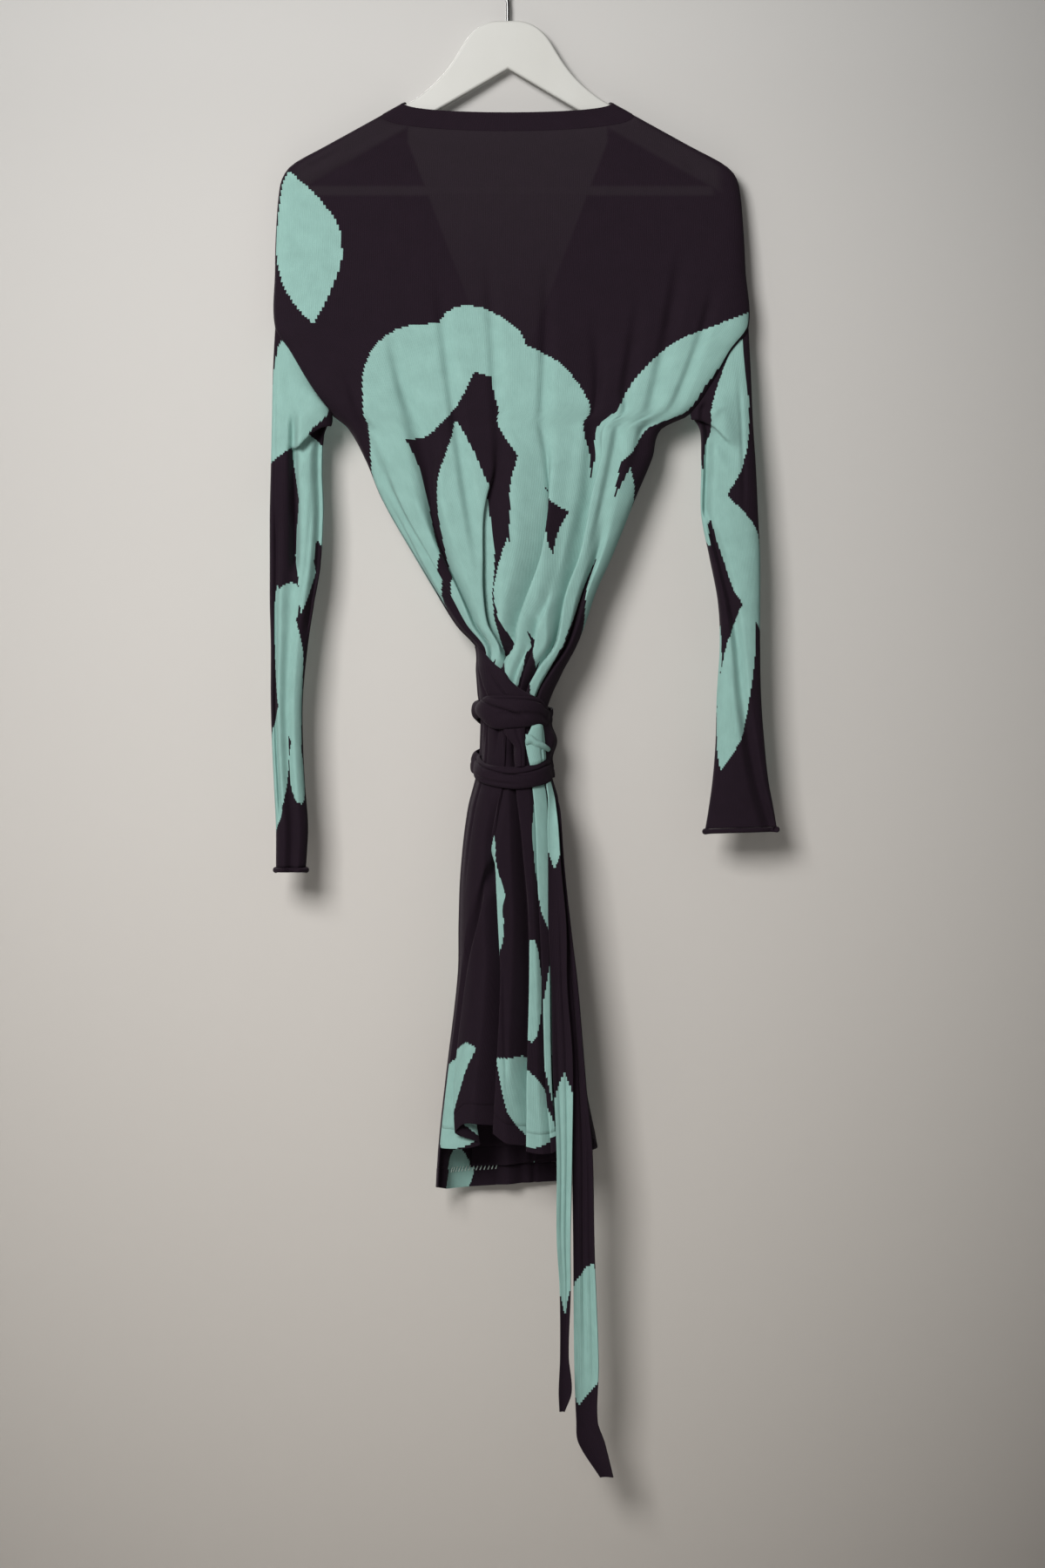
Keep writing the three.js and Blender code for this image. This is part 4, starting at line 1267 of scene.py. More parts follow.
@dataclass
class Waist:
    """Both ties wound twice round the gathered waist, with the strands that show there."""

    form: Form
    left_bulge: float = 0.2
    right_tuck: float = 0.75
    upper: Table = Table(
        "turn z height",
        (
            (0, -743, 12),
            (0.03, -743, 15),
            (0.06, -743.2, 19),
            (0.09, -743.6, 25),
            (0.12, -745, 29),
            (0.16, -746, 31.5),
            (0.25, -745.8, 31),
            (0.31, -745.5, 29),
            (0.37, -746, 23),
            (0.43, -749.5, 17),
            (0.5, -750.5, 10),
            (0.57, -749, 16),
            (0.75, -748, 24),
            (0.9, -745, 25),
            (0.95, -743.5, 18),
            (1, -743, 12),
        ),
    )
    lower: Table = Table(
        "turn z height",
        (
            (0, -797, 19),
            (0.03, -799.5, 19),
            (0.075, -802.5, 17.5),
            (0.12, -805.5, 17.5),
            (0.25, -809, 20),
            (0.35, -806.5, 20),
            (0.42, -802.5, 21),
            (0.5, -800, 18),
            (0.75, -796, 20),
            (0.9, -791, 20),
            (0.95, -793, 20),
            (1, -797, 19),
        ),
    )
    sash_top: Table = Table(
        "turn z",
        (
            (-0.02, -682),
            (0.039, -684.6),
            (0.141, -701.4),
            (0.178, -707.3),
            (0.21, -716.5),
            (0.269, -725.8),
            (0.349, -732.9),
            (0.4, -738),
        ),
    )
    mint_sides: Table = Table(
        "v left right",
        ((0, 0.345, 0.4), (0.2, 0.322, 0.412), (0.35, 0.305, 0.418), (0.55, 0.31, 0.425), (1, 0.328, 0.428)),
    )
    upper_creases: tuple[Crease, ...] = (
        Crease((-14, 10), (66, -9), 3.2, 3.0, -5, 0.35),
        Crease((8, 12), (96, 3), 3.4, 2.6, -4, 0.35),
        Crease((26, -2), (104, -5), 2.6, 1.6, -2, 2.4),
        Crease((100, 0), (196, 3), 2.6, 1.8, 2),
        Crease((110, -6), (180, -5), 2.2, 1.4, -1),
    )
    lower_creases: tuple[Crease, ...] = (
        Crease((-16, 5), (70, -1), 2.6, 2.4, -2.5, 0.35),
        Crease((30, 1), (110, 4), 2.4, 2.0, -2, 0.35),
        Crease((0, -5), (60, -6.5), 2.0, 1.4, -1, 2.2),
        Crease((100, 0), (204, 1), 2.2, 1.6, 1.5),
    )

    def wound(self, shape: Table, bulge: float, creases: tuple[Crease, ...]) -> Surface:
        """Makes the surface of one full turn.

        Args:
            shape: its height and place round the waist.
            bulge: how far its middle stands out.
            creases: the fold lines of the rolled tie.

        Returns:
            A function of places round and across it.
        """

        def surface(u: np.ndarray, v: np.ndarray) -> np.ndarray:
            """Returns points of the turn."""
            half = shape.at("height", u) / 2
            across = 2 * v - 1
            full = bulge * (1 + self.left_bulge * np.cos(math.pi * u) ** 8 - self.right_tuck * np.sin(math.pi * u) ** 8)
            rise = full * np.sqrt(np.maximum(0, 1 - across * across))
            lines = total(creases, u * 200, -across * half) * (1 - across**6)
            lift = KNIT / 2 + CLEAR + TIE_KNIT / 2 + rise - lines
            return self.form.around_waist(u, shape.at("z", u) - half * across, lift)

        return surface

    def between(self, turn: np.ndarray, v: np.ndarray) -> np.ndarray:
        """Returns heights between the upper and the lower turn."""
        top = self.upper.at("z", turn) - self.upper.at("height", turn) / 2 - EDGE_SPACE
        foot = self.lower.at("z", turn) + self.lower.at("height", turn) / 2 + EDGE_SPACE
        return mix(top, foot, v)

    def over(self, turn: np.ndarray, z: np.ndarray, lift: np.ndarray) -> np.ndarray:
        """Returns points of a strand that lies over the gathered cloth."""
        return self.form.around_waist(turn, z, KNIT / 2 + CLEAR + TIE_KNIT / 2 + lift)

    def sash(self, u: np.ndarray, v: np.ndarray) -> np.ndarray:
        """Returns points of the tie that comes out at the left side and slants over the back."""
        turn = mix(-0.02, 0.36, u)
        held = np.maximum(0, turn)
        foot = self.upper.at("z", held) + self.upper.at("height", held) / 2 - 1.5
        top = self.sash_top.at("z", turn)
        z = mix(top, np.minimum(foot, top - 3), v)
        folds = (Crease((8, 0.2), (36, 1.1), 0.16, 2.0, 0, 0.4), Crease((32, 0.15), (66, 1.1), 0.18, 2.2, 0, 0.4))
        edge = 1.6 * (1 - (2 * v - 1) ** 6)
        return self.over(turn, z, 1.4 * v * (1 - v) - 1.0 + edge - total(folds, u * 100, v))

    def loop(self, u: np.ndarray, v: np.ndarray) -> np.ndarray:
        """Returns points of the loop that bulges at the right side."""
        turn = mix(0.412, 0.56, u)
        lift = (1.6 + 2.6 * (1 - np.cos(2 * math.pi * v))) * smooth(0, 0.5, u) - 0.8
        return self.over(turn, self.between(turn, mix(-0.05, 1.05, v)), lift)

    def strand_dark(self, u: np.ndarray, v: np.ndarray) -> np.ndarray:
        """Returns points of the dark strand between the turns."""
        turn = mix(mix(0.2, 0.262, smooth(0, 0.6, v)), 0.3, u)
        return self.over(turn, self.between(turn, v), 2.6 * np.sin(math.pi * u) ** 0.7 - 1.2 * bump((u - 0.6) / 0.16))

    def strand_mint(self, u: np.ndarray, v: np.ndarray) -> np.ndarray:
        """Returns points of the mint strand between the turns."""
        turn = mix(self.mint_sides.at("left", v), self.mint_sides.at("right", v), u)
        folds = 1.2 * bump((u - 0.62) / 0.1) * smooth(0.4, 0.7, v) + 0.9 * bump((u - 0.85) / 0.08)
        lift = (2.4 * np.sin(math.pi * u) ** 0.6 - folds) * smooth(0, 0.1, v) * smooth(1, 0.9, v)
        return self.over(turn, self.between(turn, mix(-0.06, 1.06, v)), lift - 0.7 + 0.7 * smooth(0, 0.1, v) * smooth(1, 0.9, v))

    def knot(self, u: np.ndarray, v: np.ndarray) -> np.ndarray:
        """Returns points of the small loop that crosses the mint strand."""
        turn = mix(0.302, 0.44, u)
        z = mix(mix(-767.5, -779.5, u), mix(-776.5, -783.5, u), v) + 1.5 * bump((u - 0.2) / 0.2)
        return self.over(turn, z, 2.2 + 3.4 * np.sin(math.pi * v) * (0.6 + 0.4 * np.sin(math.pi * u)))

    def build(self) -> list[bpy.types.Object]:
        """Returns the wound pieces."""
        plan = (
            ("wrap_upper", 260, 30, self.wound(self.upper, 4.5, self.upper_creases), TIE_DARK, (0.042, 0.2), True),
            ("wrap_lower", 260, 24, self.wound(self.lower, 3.5, self.lower_creases), TIE_DARK, (0.03, 0.2), True),
            ("sash_diagonal", 80, 24, self.sash, TIE_DARK, (0.035, 0.075), False),
            ("loop_right", 24, 30, self.loop, TIE_DARK, (0.029, 0.044), False),
            ("strand_dark", 24, 24, self.strand_dark, TIE_DARK, (0.02, 0.035), False),
            ("strand_mint", 24, 24, self.strand_mint, PLAIN_MINT, (0.022, 0.035), False),
            ("knot_loop", 30, 14, self.knot, PLAIN_MINT, (0.012, 0.028), False),
        )
        pieces = []
        for name, cols, rows, surface, finish, flat, loop in plan:
            sheet = Sheet(f"{name}_knit", cols, rows, surface, steady(flat[1] * 1000), (0, -flat[0] * 1000), 1.5, loop)
            sheet.soft_rim = 0.5
            piece = sheet.lay(finish, (name,))
            pieces.append(piece)
        return pieces


@dataclass
class Tie:
    """A hanging end of a tie, folded softly along its length."""

    form: Form
    waist: Waist
    finish: KnitFinish
    name: str
    strand: Table
    turns: tuple[float, float]
    foot: float
    hollow: float
    creases: tuple[Crease, ...]
    flat: tuple[float, float]
    release: float = 45
    ease: float = 1.3

    def surface(self, u: np.ndarray, v: np.ndarray) -> np.ndarray:
        """Returns points of the strand."""
        turn = mix(self.turns[0], self.turns[1], u)
        top = self.waist.lower.at("z", turn) - self.waist.lower.at("height", turn) / 2 - EDGE_SPACE
        z = mix(top, self.foot, v**self.ease)
        left, right = self.strand.at("left", z), self.strand.at("right", z)
        x = mix(left, right, u)
        across = 2 * u - 1
        cup = self.hollow * (1 - across**2) + total(self.creases, across * 8, z)
        free = np.stack([x, self.strand.at("y", z) + cup, z], axis=-1)
        held = self.form.around_waist(turn, z, np.full_like(z, KNIT / 2 + CLEAR + TIE_KNIT / 2))
        share = smooth(0, self.release, top - z)[..., None]
        return held * (1 - share) + free * share

    def build(self) -> list[bpy.types.Object]:
        """Returns the hanging end."""
        length = self.flat[1] * 1000
        sheet = Sheet(f"{self.name}_knit", 20, 260, self.surface, steady(self.flat[0] * 1000), (0, -length), 1.5)
        sheet.soft_rim = 0.5
        piece = sheet.lay(self.finish, (self.name,))
        return [piece]


@dataclass
class Hanger:
    """Flat lacquered hanger with a round bar and a wire hook."""

    thick: float = 11
    edge: float = 2.2
    wire: float = 3.7
    hook_radius: float = 22
    body_top: float = -79.8
    head_half: float = 8
    bar_diameter: float = 9
    bar_height: float = -244.5
    bar_reach: float = 198
    inner_corner: tuple[float, float] = (65, -164.2)
    arm_tip: tuple[float, float] = (207, -248.8)
    arm_end: tuple[float, float] = (199, -215.6)
    arm_start: tuple[float, float] = (92, -156.9)
    inner_apex: float = -126

    def outline(self) -> np.ndarray:
        """Returns the right half of the outline, from the head's middle down to the inner apex."""

        def curve(points: list) -> np.ndarray:
            """Returns places along a curve with three or four control points."""
            t = np.linspace(0, 1, 19)[1:, None]
            p = [np.array(q, float) for q in points]
            if len(p) == 3:
                return (1 - t) ** 2 * p[0] + 2 * t * (1 - t) * p[1] + t**2 * p[2]
            return (1 - t) ** 3 * p[0] + 3 * t * (1 - t) ** 2 * p[1] + 3 * t**2 * (1 - t) * p[2] + t**3 * p[3]

        head = (self.head_half, self.body_top)
        parts = [
            np.array([head]),
            curve([head, (24, -80), (35, -89), (43.5, -103.5)]),
            curve([(43.5, -103.5), (55, -123), (64, -138), self.arm_start]),
            np.array([self.arm_end]),
            curve([self.arm_end, (self.arm_end[0] + 10, -226), self.arm_tip]),
            np.array([self.inner_corner]),
            np.array([(0, self.inner_apex)]),
        ]
        return np.concatenate(parts)

    def body(self) -> bpy.types.Mesh:
        """Returns the flat body with its rounded edges."""
        right = self.outline()
        left = (right * [-1, 1])[::-1]
        points = np.concatenate([right, left[1:]])
        curve = bpy.data.curves.new("hanger_outline", "CURVE")
        curve.dimensions = "2D"
        curve.fill_mode = "BOTH"
        spline = curve.splines.new("POLY")
        spline.points.add(len(points) - 1)
        for place, (x, z) in zip(spline.points, points):
            place.co = (x * MM, z * MM, 0, 1)
        spline.use_cyclic_u = True
        curve.extrude = (self.thick / 2 - self.edge) * MM
        curve.bevel_depth = self.edge * MM
        curve.bevel_resolution = 5
        curve.offset = -self.edge * MM
        return self.solid_mesh("hanger_body_lacquered", curve, Matrix.Rotation(math.pi / 2, 4, "X"))

    def solid_mesh(self, name: str, curve: bpy.types.Curve, turn: Matrix) -> bpy.types.Mesh:
        """Makes a mesh of a curve.

        Args:
            name: name of the mesh.
            curve: the curve with its bevel.
            turn: how it is turned into place.

        Returns:
            The closed mesh, in place.
        """
        holder = bpy.data.objects.new(name, curve)
        bpy.context.scene.collection.objects.link(holder)
        bpy.context.view_layer.update()
        mesh = bpy.data.meshes.new_from_object(holder.evaluated_get(bpy.context.evaluated_depsgraph_get()))
        bpy.data.objects.remove(holder)
        work = bmesh.new()
        work.from_mesh(mesh)
        bmesh.ops.remove_doubles(work, verts=work.verts, dist=1e-6)
        bmesh.ops.transform(work, matrix=turn, verts=work.verts)
        bmesh.ops.recalc_face_normals(work, faces=work.faces)
        work.to_mesh(mesh)
        work.free()
        mesh.name = name
        return mesh

    def bar(self) -> bpy.types.Mesh:
        """Returns the round bar, its ends cut to the slope of the arms."""
        slope = (self.arm_tip[0] - self.inner_corner[0]) / (self.inner_corner[1] - self.arm_tip[1])
        work = bmesh.new()
        radius = self.bar_diameter / 2
        bmesh.ops.create_cone(work, cap_ends=True, segments=40, radius1=radius, radius2=radius, depth=2)
        bmesh.ops.rotate(work, verts=work.verts, cent=(0, 0, 0), matrix=Matrix.Rotation(math.pi / 2, 3, "Y"))
        for vert in work.verts:
            z = self.bar_height + vert.co.z
            reach = self.inner_corner[0] + (self.inner_corner[1] - z) * slope - 2 * SEAM
            vert.co = Vector((math.copysign(min(reach, self.bar_reach), vert.co.x), vert.co.y, z)) * MM
        mesh = bpy.data.meshes.new("hanger_bar_lacquered")
        work.to_mesh(mesh)
        work.free()
        return mesh

    def hook(self) -> bpy.types.Mesh:
        """Returns the hook's wire."""
        centre = -self.hook_radius + self.wire / 2
        points = []
        for k in range(11):
            angle = mix(3.5, -0.95, k / 10)
            points.append((self.hook_radius * math.cos(angle), centre + self.hook_radius * math.sin(angle)))
        points += [(4, -46), (0, -53), (0, -66), (0, self.body_top - 6)]
        curve = bpy.data.curves.new("hook_wire", "CURVE")
        curve.dimensions = "3D"
        spline = curve.splines.new("BEZIER")
        spline.bezier_points.add(len(points) - 1)
        for place, (x, z) in zip(spline.bezier_points, points):
            place.co = (x * MM, 0, z * MM)
            place.handle_left_type = place.handle_right_type = "AUTO"
        spline.resolution_u = 8
        curve.bevel_depth = self.wire / 2 * MM
        curve.bevel_resolution = 6
        curve.use_fill_caps = True
        return self.solid_mesh("hanger_hook_wire", curve, Matrix.Identity(4))

    def build(self) -> list[bpy.types.Object]:
        """Returns the hanger's pieces."""
        lacquer = LacquerFinish()
        body = show("hanger", self.body(), lacquer, ("hanger_body",))
        body.modifiers.new("normals", "WEIGHTED_NORMAL")
        return [
            body,
            show("hanger_round_bar", self.bar(), lacquer, ("hanger_bar",)),
            show("hanger_wire_hook", self.hook(), WireFinish(), ("hanger_hook",)),
        ]


@dataclass
class Studio:
    """Pale floor, soft light and the camera."""

    floor_height: float = -2.3
    floor_radius: float = 2.6
    distance: float = 3.0
    aim: tuple[float, float] = (0.0143, -0.8148)
    frame_height: float = 1.512
    wall_half: float = 2.6
    wall_place: Table = Table(
        "z y",
        ((-1600, 47), (-850, 47), (-620, 41), (-400, 27), (-225, 17), (-160, 11.5), (-110, 7.4), (500, 7.4)),
    )
    wall_warmth: tuple[tuple[float, float], ...] = ((0.032, 0.992), (0.062, 0.981))
    wall_painted_falloff: tuple[float, ...] = (0.447, -0.087, -0.39, -0.258, -0.193)

    def floor(self) -> None:
        """Lays the floor."""
        work = bmesh.new()
        bmesh.ops.create_circle(work, cap_ends=True, segments=96, radius=self.floor_radius)
        bmesh.ops.translate(work, verts=work.verts, vec=(0, 0, self.floor_height))
        mesh = bpy.data.meshes.new("floor")
        work.to_mesh(mesh)
        work.free()
        nodes = Nodes("pale_floor")
        place = nodes.add("ShaderNodeTexCoord", {}).outputs["Object"]
        cloud = nodes.add("ShaderNodeTexNoise", {"Vector": place, "Scale": 3.0, "Detail": 4.0})
        nodes.drive(
            "Base Color", nodes.blend(cloud.outputs["Fac"], (0.60, 0.585, 0.56, 1), (0.66, 0.645, 0.62, 1))
        )
        nodes.drive("Roughness", 0.9)
        mesh.materials.append(nodes.material)
        ground = bpy.data.objects.new("floor", mesh)
        bpy.context.scene.collection.objects.link(ground)

    def wall(self) -> None:
        """Stands a pale wall close behind the dress, which only the camera sees, from the front; its colour carries
        painted light, lightest a little left of and above the middle and darker towards the edges, most to the right
        and down.
        """
        work = bmesh.new()
        bmesh.ops.create_grid(work, x_segments=1, y_segments=240, size=self.wall_half)
        bmesh.ops.rotate(work, verts=work.verts, cent=(0, 0, 0), matrix=Matrix.Rotation(math.pi / 2, 3, "X"))
        bmesh.ops.translate(work, verts=work.verts, vec=(0, 0, self.wall_half + self.floor_height))
        for vert in work.verts:
            vert.co.y = float(self.wall_place.at("y", vert.co.z / MM)) * MM
        mesh = bpy.data.meshes.new("wall")
        work.to_mesh(mesh)
        work.free()
        mesh.polygons.foreach_set("use_smooth", [True] * len(mesh.polygons))
        nodes = Nodes("pale_wall")
        place = nodes.add("ShaderNodeSeparateXYZ", {0: nodes.add("ShaderNodeTexCoord", {}).outputs["Object"]})
        # Painted light: the tone is a fitted pool of light, darker towards the edges of the frame, most to the lower
        # right.
        tone: object = self.wall_painted_falloff[0]
        terms = (place.outputs[0], place.outputs[2])
        for k, term in enumerate(terms):
            high = nodes.math("MULTIPLY_ADD", term, self.wall_painted_falloff[2 * k + 2], self.wall_painted_falloff[2 * k + 1])
            tone = nodes.math("MULTIPLY_ADD", high, term, tone)
        tone = nodes.math("MINIMUM", nodes.math("MAXIMUM", tone, 0.2), 0.85)
        # The tint warms towards the bottom: green and blue fall off downwards.
        green, blue = (
            nodes.math("MULTIPLY", tone, nodes.math("MULTIPLY_ADD", place.outputs[2], slope, share))
            for slope, share in self.wall_warmth
        )
        paint = nodes.add("ShaderNodeCombineColor", {0: tone, 1: green, 2: blue})
        nodes.drive("Base Color", paint.outputs[0])
        nodes.drive("Roughness", 0.9)
        nodes.drive("Specular IOR Level", 0.1)
        behind = nodes.add("ShaderNodeNewGeometry", {}).outputs["Backfacing"]
        clear = nodes.add("ShaderNodeBsdfTransparent", {}).outputs[0]
        both = nodes.add("ShaderNodeMixShader", {0: behind, 1: nodes.shader.outputs[0], 2: clear}).outputs[0]
        nodes.tree.links.new(both, nodes.tree.nodes["Material Output"].inputs[0])
        mesh.materials.append(nodes.material)
        board = bpy.data.objects.new("wall", mesh)
        bpy.context.scene.collection.objects.link(board)
        board.visible_diffuse = board.visible_glossy = board.visible_transmission = board.visible_shadow = False

    def light(self, name: str, place: tuple, size: float, power: float, colour: tuple) -> None:
        """Hangs a soft square light that faces the dress.

        Args:
            name: its name.
            place: where it hangs.
            size: its side.
            power: its power in watts.
            colour: its colour.
        """
        lamp = bpy.data.lights.new(name, "AREA")
        lamp.size, lamp.energy, lamp.color = size, power, colour
        holder = bpy.data.objects.new(name, lamp)
        holder.location = place
        toward = Vector((0, 0, -0.7)) - Vector(place)
        holder.rotation_euler = toward.to_track_quat("-Z", "Y").to_euler()
        bpy.context.scene.collection.objects.link(holder)

    def world(self) -> None:
        """Fills the surroundings with a pale warm grey, lighter to the upper left."""
        world = bpy.data.worlds.new("pale_room")
        bpy.context.scene.world = world
        world.use_nodes = True
        tree = world.node_tree
        place = tree.nodes.new("ShaderNodeTexCoord")
        lean = tree.nodes.new("ShaderNodeVectorMath")
        lean.operation = "DOT_PRODUCT"
        lean.inputs[1].default_value = (-1.3, 0, 0.75)
        ramp = tree.nodes.new("ShaderNodeValToRGB")
        stops = ((0.1, 0.12), (0.4, 0.155), (0.65, 0.21), (0.9, 0.27))
        for k, (position, grey) in enumerate(stops):
            stop = ramp.color_ramp.elements[k] if k < 2 else ramp.color_ramp.elements.new(position)
            stop.position = position
            stop.color = (grey, grey * 0.97, grey * 0.92 if grey < 0.5 else grey * 0.94, 1)
        shift = tree.nodes.new("ShaderNodeMath")
        shift.operation = "MULTIPLY_ADD"
        shift.inputs[1].default_value = 1.0
        shift.inputs[2].default_value = 0.5
        tree.links.new(place.outputs["Generated"], lean.inputs[0])
        tree.links.new(lean.outputs["Value"], shift.inputs[0])
        tree.links.new(shift.outputs[0], ramp.inputs[0])
        tree.links.new(ramp.outputs[0], tree.nodes["Background"].inputs[0])

    def camera(self) -> None:
        """Sets the camera straight at the back of the dress."""
        lens = bpy.data.cameras.new("camera")
        lens.sensor_fit = "VERTICAL"
        lens.sensor_height = 36
        lens.lens = 36 * self.distance / self.frame_height
        holder = bpy.data.objects.new("camera", lens)
        holder.location = (self.aim[0], -self.distance, self.aim[1])
        holder.rotation_euler = (math.pi / 2, 0, 0)
        bpy.context.scene.collection.objects.link(holder)
        bpy.context.scene.camera = holder

    def build(self) -> None:
        """Sets up the studio."""
        self.floor()
        self.wall()
        self.world()
        self.light("key_upper_left", (-1.15, -2.62, 0.52), 1.2, 106, (1.0, 0.985, 0.96))
        self.light("fill_right", (2.4, -2.2, 0.2), 2.4, 4, (0.97, 0.98, 1.0))
        self.light("behind_left", (-1.6, 2.4, 1.2), 2.0, 75, (1.0, 0.99, 0.97))
        self.camera()
        bpy.context.scene.view_settings.view_transform = "Standard"


PLAIN_DARK = KnitFinish("aubergine_plain_knit", AUBERGINE, MINT)
PLAIN_MINT = KnitFinish("mint_plain_knit", MINT, AUBERGINE)
PALE_THREAD = KnitFinish("pale_thread", Yarn((0.55, 0.66, 0.62, 1), MINT.slot), AUBERGINE)
TIE_DARK = KnitFinish("aubergine_tie_knit", AUBERGINE, MINT, wale=0.0017, course=0.0013)

BACK_LEAVES = (
    leaf(-104, -428, 190, 92, 34),
    pebble(-30, -392, 92, 62, 150),
    leaf(44, -474, 226, 92, 128),
    leaf(168, -446, 200, 78, 58),
    leaf(-178, -545, 210, 80, 78),
    leaf(-84, -590, 250, 92, 80),
    leaf(28, -604, 210, 84, 100),
    leaf(118, -600, 250, 88, 72),
    leaf(196, -610, 200, 60, 100),
    leaf(-136, -664, 120, 60, 88),
    leaf(-22, -668, 176, 62, 87),
    leaf(78, -672, 164, 66, 96),
    leaf(-196, -300, 150, 64, 98),
    leaf(-62, -944, 150, 44, 86),
    leaf(98, -868, 176, 62, 90),
    leaf(112, -1030, 190, 58, 82),
    pebble(54, -1010, 100, 34, 92),
    leaf(-178, -1118, 170, 90, 20),
    leaf(34, -1120, 150, 74, -24),
    pebble(150, -1138, 90, 60, 12),
)
OVER_LEAVES = (
    leaf(-88, -450, 230, 84, 128),
    leaf(20, -560, 240, 84, 60),
    leaf(-110, -620, 200, 70, 100),
    pebble(60, -670, 90, 56, 30),
    pebble(-40, -700, 70, 44, 80),
    leaf(-60, -960, 190, 60, 70),
    leaf(90, -1080, 190, 60, 110),
    leaf(-84, -1176, 84, 50, 16),
    leaf(-120, -300, 150, 56, 70),
)
UNDER_LEAVES = (
    leaf(96, -450, 220, 80, 60),
    leaf(-10, -560, 230, 84, 118),
    leaf(110, -620, 200, 70, 80),
    pebble(-50, -680, 80, 50, 60),
    leaf(40, -960, 200, 60, 100),
    leaf(-80, -1090, 190, 60, 70),
    pebble(70, -1140, 90, 56, 170),
)
LEFT_SLEEVE_LEAVES = (
    leaf(-58, -40, 170, 76, 62),
    leaf(-14, -128, 170, 62, 118),
    leaf(-24, -186, 150, 42, 86),
    pebble(-58, -262, 70, 44, 70),
    leaf(-46, -312, 170, 62, 112),
    leaf(-74, -398, 130, 56, 70),
    pebble(-24, -404, 60, 38, 100),
    leaf(52, -80, 180, 66, 64),
    leaf(70, -190, 170, 62, 116),
    leaf(44, -300, 180, 62, 70),
    pebble(66, -400, 80, 50, 80),
)
RIGHT_SLEEVE_LEAVES = (
    leaf(48, -44, 180, 84, 118),
    leaf(18, -132, 150, 56, 66),
    leaf(68, -176, 170, 62, 100),
    pebble(26, -224, 60, 40, 120),
    leaf(60, -290, 180, 66, 62),
    leaf(22, -352, 160, 54, 112),
    pebble(70, -404, 70, 44, 70),
    leaf(-50, -90, 190, 66, 112),
    leaf(-66, -210, 170, 62, 66),
    leaf(-44, -330, 180, 64, 110),
)

OVER_EDGE = Table("u z", ((0, -1203), (0.2, -1208), (0.5, -1204), (1, -1200)))
UNDER_EDGE = Table("u z", ((0, -1188), (0.5, -1184), (1, -1165)))
RING_COLUMNS = "v outerX outerZ innerX innerZ depth"
LEFT_RINGS = Table(
    RING_COLUMNS,
    (
        (0, -224, -376, -171, -459, 8),
        (0.08, -226, -416, -169, -461, 11),
        (0.16, -227, -466, -177, -477, 13),
        (0.25, -228, -512, -179, -512, 14),
        (0.34, -229, -554, -178, -554, 14),
        (0.44, -229, -605, -181, -605, 14),
        (0.52, -229, -640, -187, -640, 14),
        (0.6, -228, -680, -193, -680, 14),
        (0.7, -228, -731, -198, -731, 14),
        (0.78, -227, -773, -198, -773, 14),
        (0.86, -225, -815, -196, -815, 14),
        (0.94, -223, -857, -193, -857, 14),
        (1, -223, -895, -195, -895, 14),
    ),
)
RIGHT_RINGS = Table(
    RING_COLUMNS,
    (
        (0, 232, -376, 177, -459, 8),
        (0.08, 234, -416, 178, -461, 11),
        (0.16, 236, -464, 186, -475, 13),
        (0.25, 239, -510, 187, -510, 14),
        (0.34, 241, -554, 187, -554, 14),
        (0.44, 243, -596, 195, -596, 14),
        (0.52, 243, -638, 203, -638, 13),
        (0.62, 243, -680, 205, -680, 12),
        (0.72, 244, -731, 202, -731, 12),
        (0.8, 247, -773, 201, -773, 11),
        (0.88, 251, -811, 198, -811, 10),
        (0.95, 256, -838, 194, -840, 9),
        (1, 259, -856, 191, -858, 9),
    ),
)
TIE_COLUMNS = "z left right y"
SHORT_STRAND = Table(
    TIE_COLUMNS,
    (
        (-816, 36, 44, -22),
        (-850, 38, 48, -26),
        (-893, 39, 51, -29.5),
        (-949, 39, 56, -33),
        (-1008, 42, 57, -35.5),
        (-1076, 43, 62, -39),
        (-1167, 47, 61.5, -41),
        (-1246, 47, 60, -39),
        (-1298, 50, 60, -37),
        (-1359, 50.5, 58, -36),
        (-1394, 49, 61, -36),
        (-1413, 50, 54, -36),
    ),
)
LONG_STRAND = Table(
    TIE_COLUMNS,
    (
        (-816, 43, 49, -17),
        (-893, 47, 54, -21),
        (-949, 51, 60, -25),
        (-1008, 56, 67, -28),
        (-1067, 60, 72, -31),
        (-1115, 62, 76, -33),
        (-1167, 62, 81, -34),
        (-1260, 63, 83, -31),
        (-1368, 64, 87, -27),
        (-1424, 66, 86, -25),
        (-1445, 68, 93, -25),
        (-1478, 89, 101, -25),
    ),
)


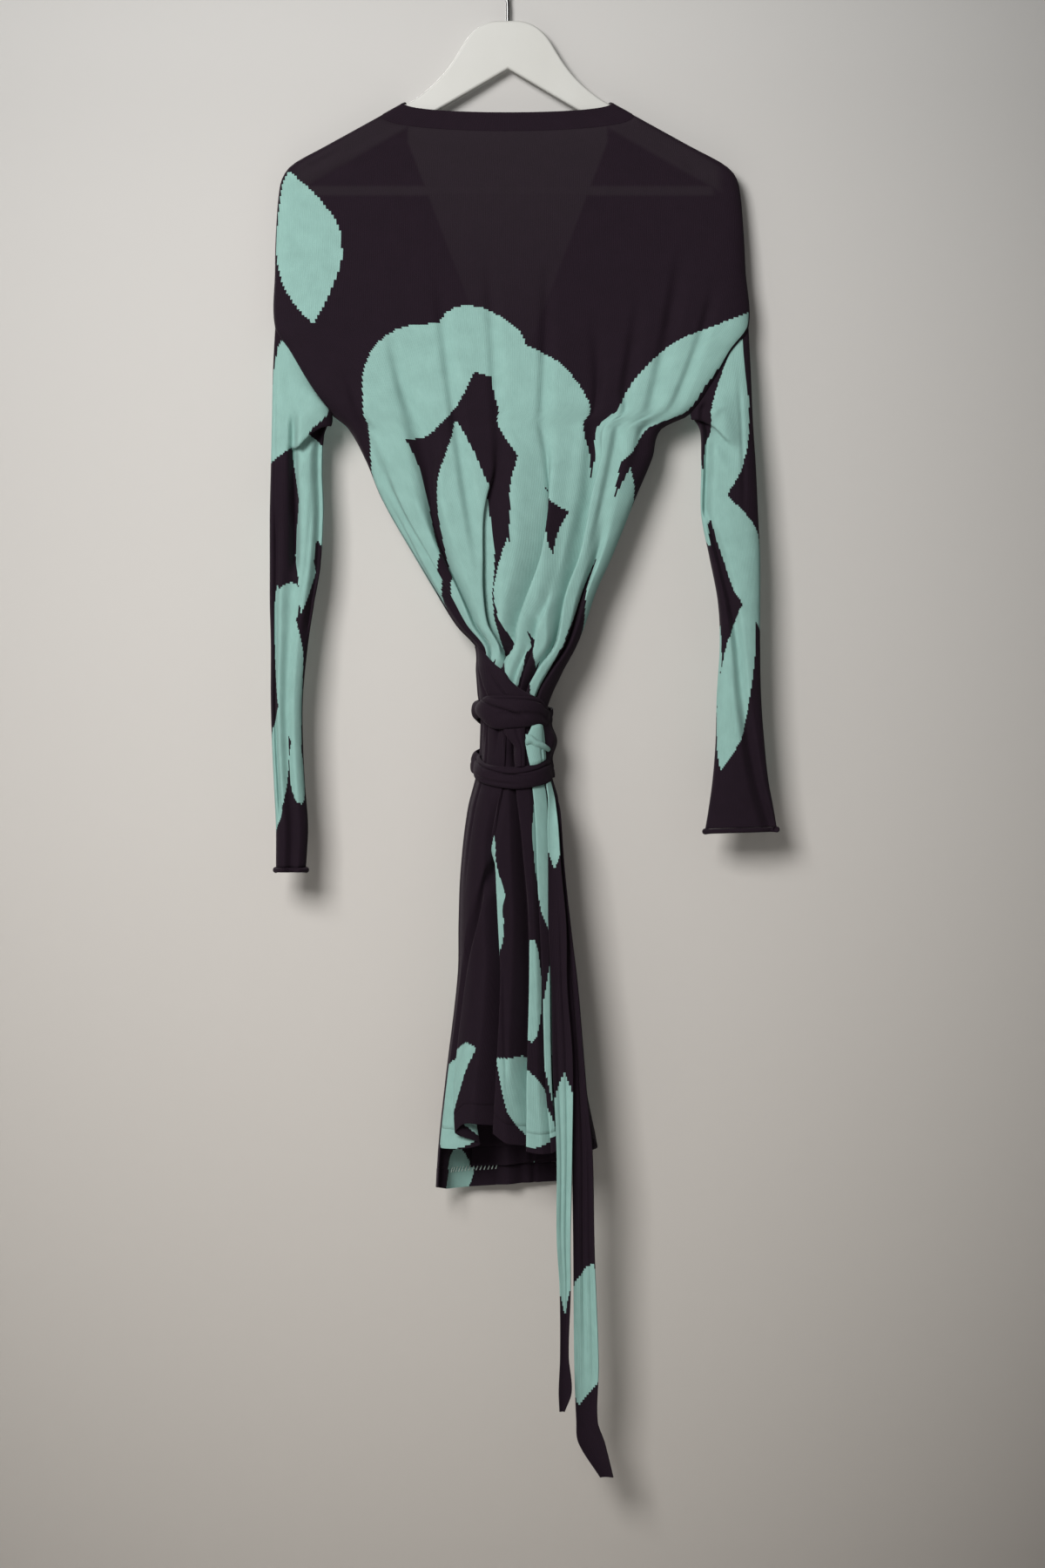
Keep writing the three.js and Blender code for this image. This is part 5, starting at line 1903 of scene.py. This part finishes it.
def main() -> None:
    """Builds the dress, its hanger and the studio."""
    logging.basicConfig(level=logging.INFO, format="%(name)s %(message)s")
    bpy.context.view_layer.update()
    form = Form()
    Hanger().build()
    back_knit = KnitFinish(
        "back_leaf_knit", AUBERGINE, MINT, BACK_LEAVES, paints_hanger_through=True, paints_open_neck_through=True
    )
    Back(form, back_knit).build()
    over_cut = Table("z width", ((-171, 40), (-227, 130), (-374, 200), (-470, 250), (-722, 330), (-1200, 330)))
    under_cut = Table("z width", ((-171, 40), (-227, 130), (-374, 200), (-470, 250), (-722, 330), (-1200, 330)))
    over_knit = KnitFinish("over_front_leaf_knit", AUBERGINE, MINT, OVER_LEAVES, paints_hanger_through=True)
    under_knit = KnitFinish("under_front_leaf_knit", AUBERGINE, MINT, UNDER_LEAVES, paints_hanger_through=True)
    over = Front(form, over_knit, Hand.LEFT, "over", OVERLAP, OVER_EDGE, over_cut, (0.3, 1.03, 0.162))
    over.stitch_count = 14
    over.build()
    Front(form, under_knit, Hand.RIGHT, "under", 0.0, UNDER_EDGE, under_cut, (0.29, 1.01, 0.15)).build()
    Sleeve(
        form,
        KnitFinish("left_sleeve_leaf_knit", AUBERGINE, MINT, LEFT_SLEEVE_LEAVES),
        Hand.LEFT,
        LEFT_RINGS,
        (
            SleeveFold(0.225, 0.25, 0.12, 0.46, 0.045, 11),
            SleeveFold(0.24, 0.27, 0.2, 1.3, 0.09, 6),
            SleeveFold(0.12, 0.13, 0.3, 0.95, 0.05, 5),
            SleeveFold(0.4, 0.42, 0.1, 0.6, 0.07, 6),
            SleeveFold(0.78, 0.76, 0.1, 1.3, 0.08, 7),
        ),
        (
            Crease((14, 20), (22, 200), 5, 1.5),
            Crease((70, 120), (60, 300), 6, 1.6),
            Crease((150, 60), (140, 260), 8, 2),
            Crease((180, 150), (170, 420), 8, 2),
        ),
        (0.2, 0.49, 0.075),
        ("sleeve_left",),
    ).build()
    right = Sleeve(
        form,
        KnitFinish("right_sleeve_leaf_knit", AUBERGINE, MINT, RIGHT_SLEEVE_LEAVES),
        Hand.RIGHT,
        RIGHT_RINGS,
        (
            SleeveFold(0.42, 0.08, 0.3, 1.05, 0.07, 6.5),
            SleeveFold(0.36, 0.42, 0.05, 0.36, 0.07, 8),
            SleeveFold(0.74, 0.7, 0.1, 0.9, 0.08, 6.5),
        ),
        (
            Crease((88, 30), (50, 60), 8, -3, 4),
            Crease((30, 20), (34, 170), 6, 1.6),
            Crease((84, 100), (70, 240), 6, 1.6),
            Crease((150, 80), (140, 280), 8, 2),
        ),
        (0.2, 0.48, 0.073),
        ("sleeve_right_back", "sleeve_right_front"),
    )
    right.slack, right.droop = 5.0, 6.0
    right.build()
    waist = Waist(form)
    waist.build()
    Tie(
        form,
        waist,
        KnitFinish("short_tie_knit", AUBERGINE, MINT, (leaf(-1, -34, 190, 70, 90), leaf(0, -430, 200, 60, 90)), wale=0.0017, course=0.0013),
        "tie_short",
        SHORT_STRAND,
        (0.405, 0.445),
        -1413,
        1.5,
        (Crease((3, -880), (2, -1380), 2.5, 1.6), Crease((-4, -1000), (-3, -1300), 2.5, 1.2)),
        (0.022, 0.6),
    ).build()
    Tie(
        form,
        waist,
        KnitFinish("long_tie_knit", AUBERGINE, MINT, (leaf(0, -560, 110, 60, 80),), wale=0.0017, course=0.0013),
        "tie_long",
        LONG_STRAND,
        (0.455, 0.5),
        -1478,
        2.5,
        (Crease((2, -900), (-2, -1420), 2.5, 2.2), Crease((5, -1100), (4, -1440), 2, 1.4)),
        (0.024, 0.67),
    ).build()
    Studio().build()


if __name__ == "__main__":
    main()
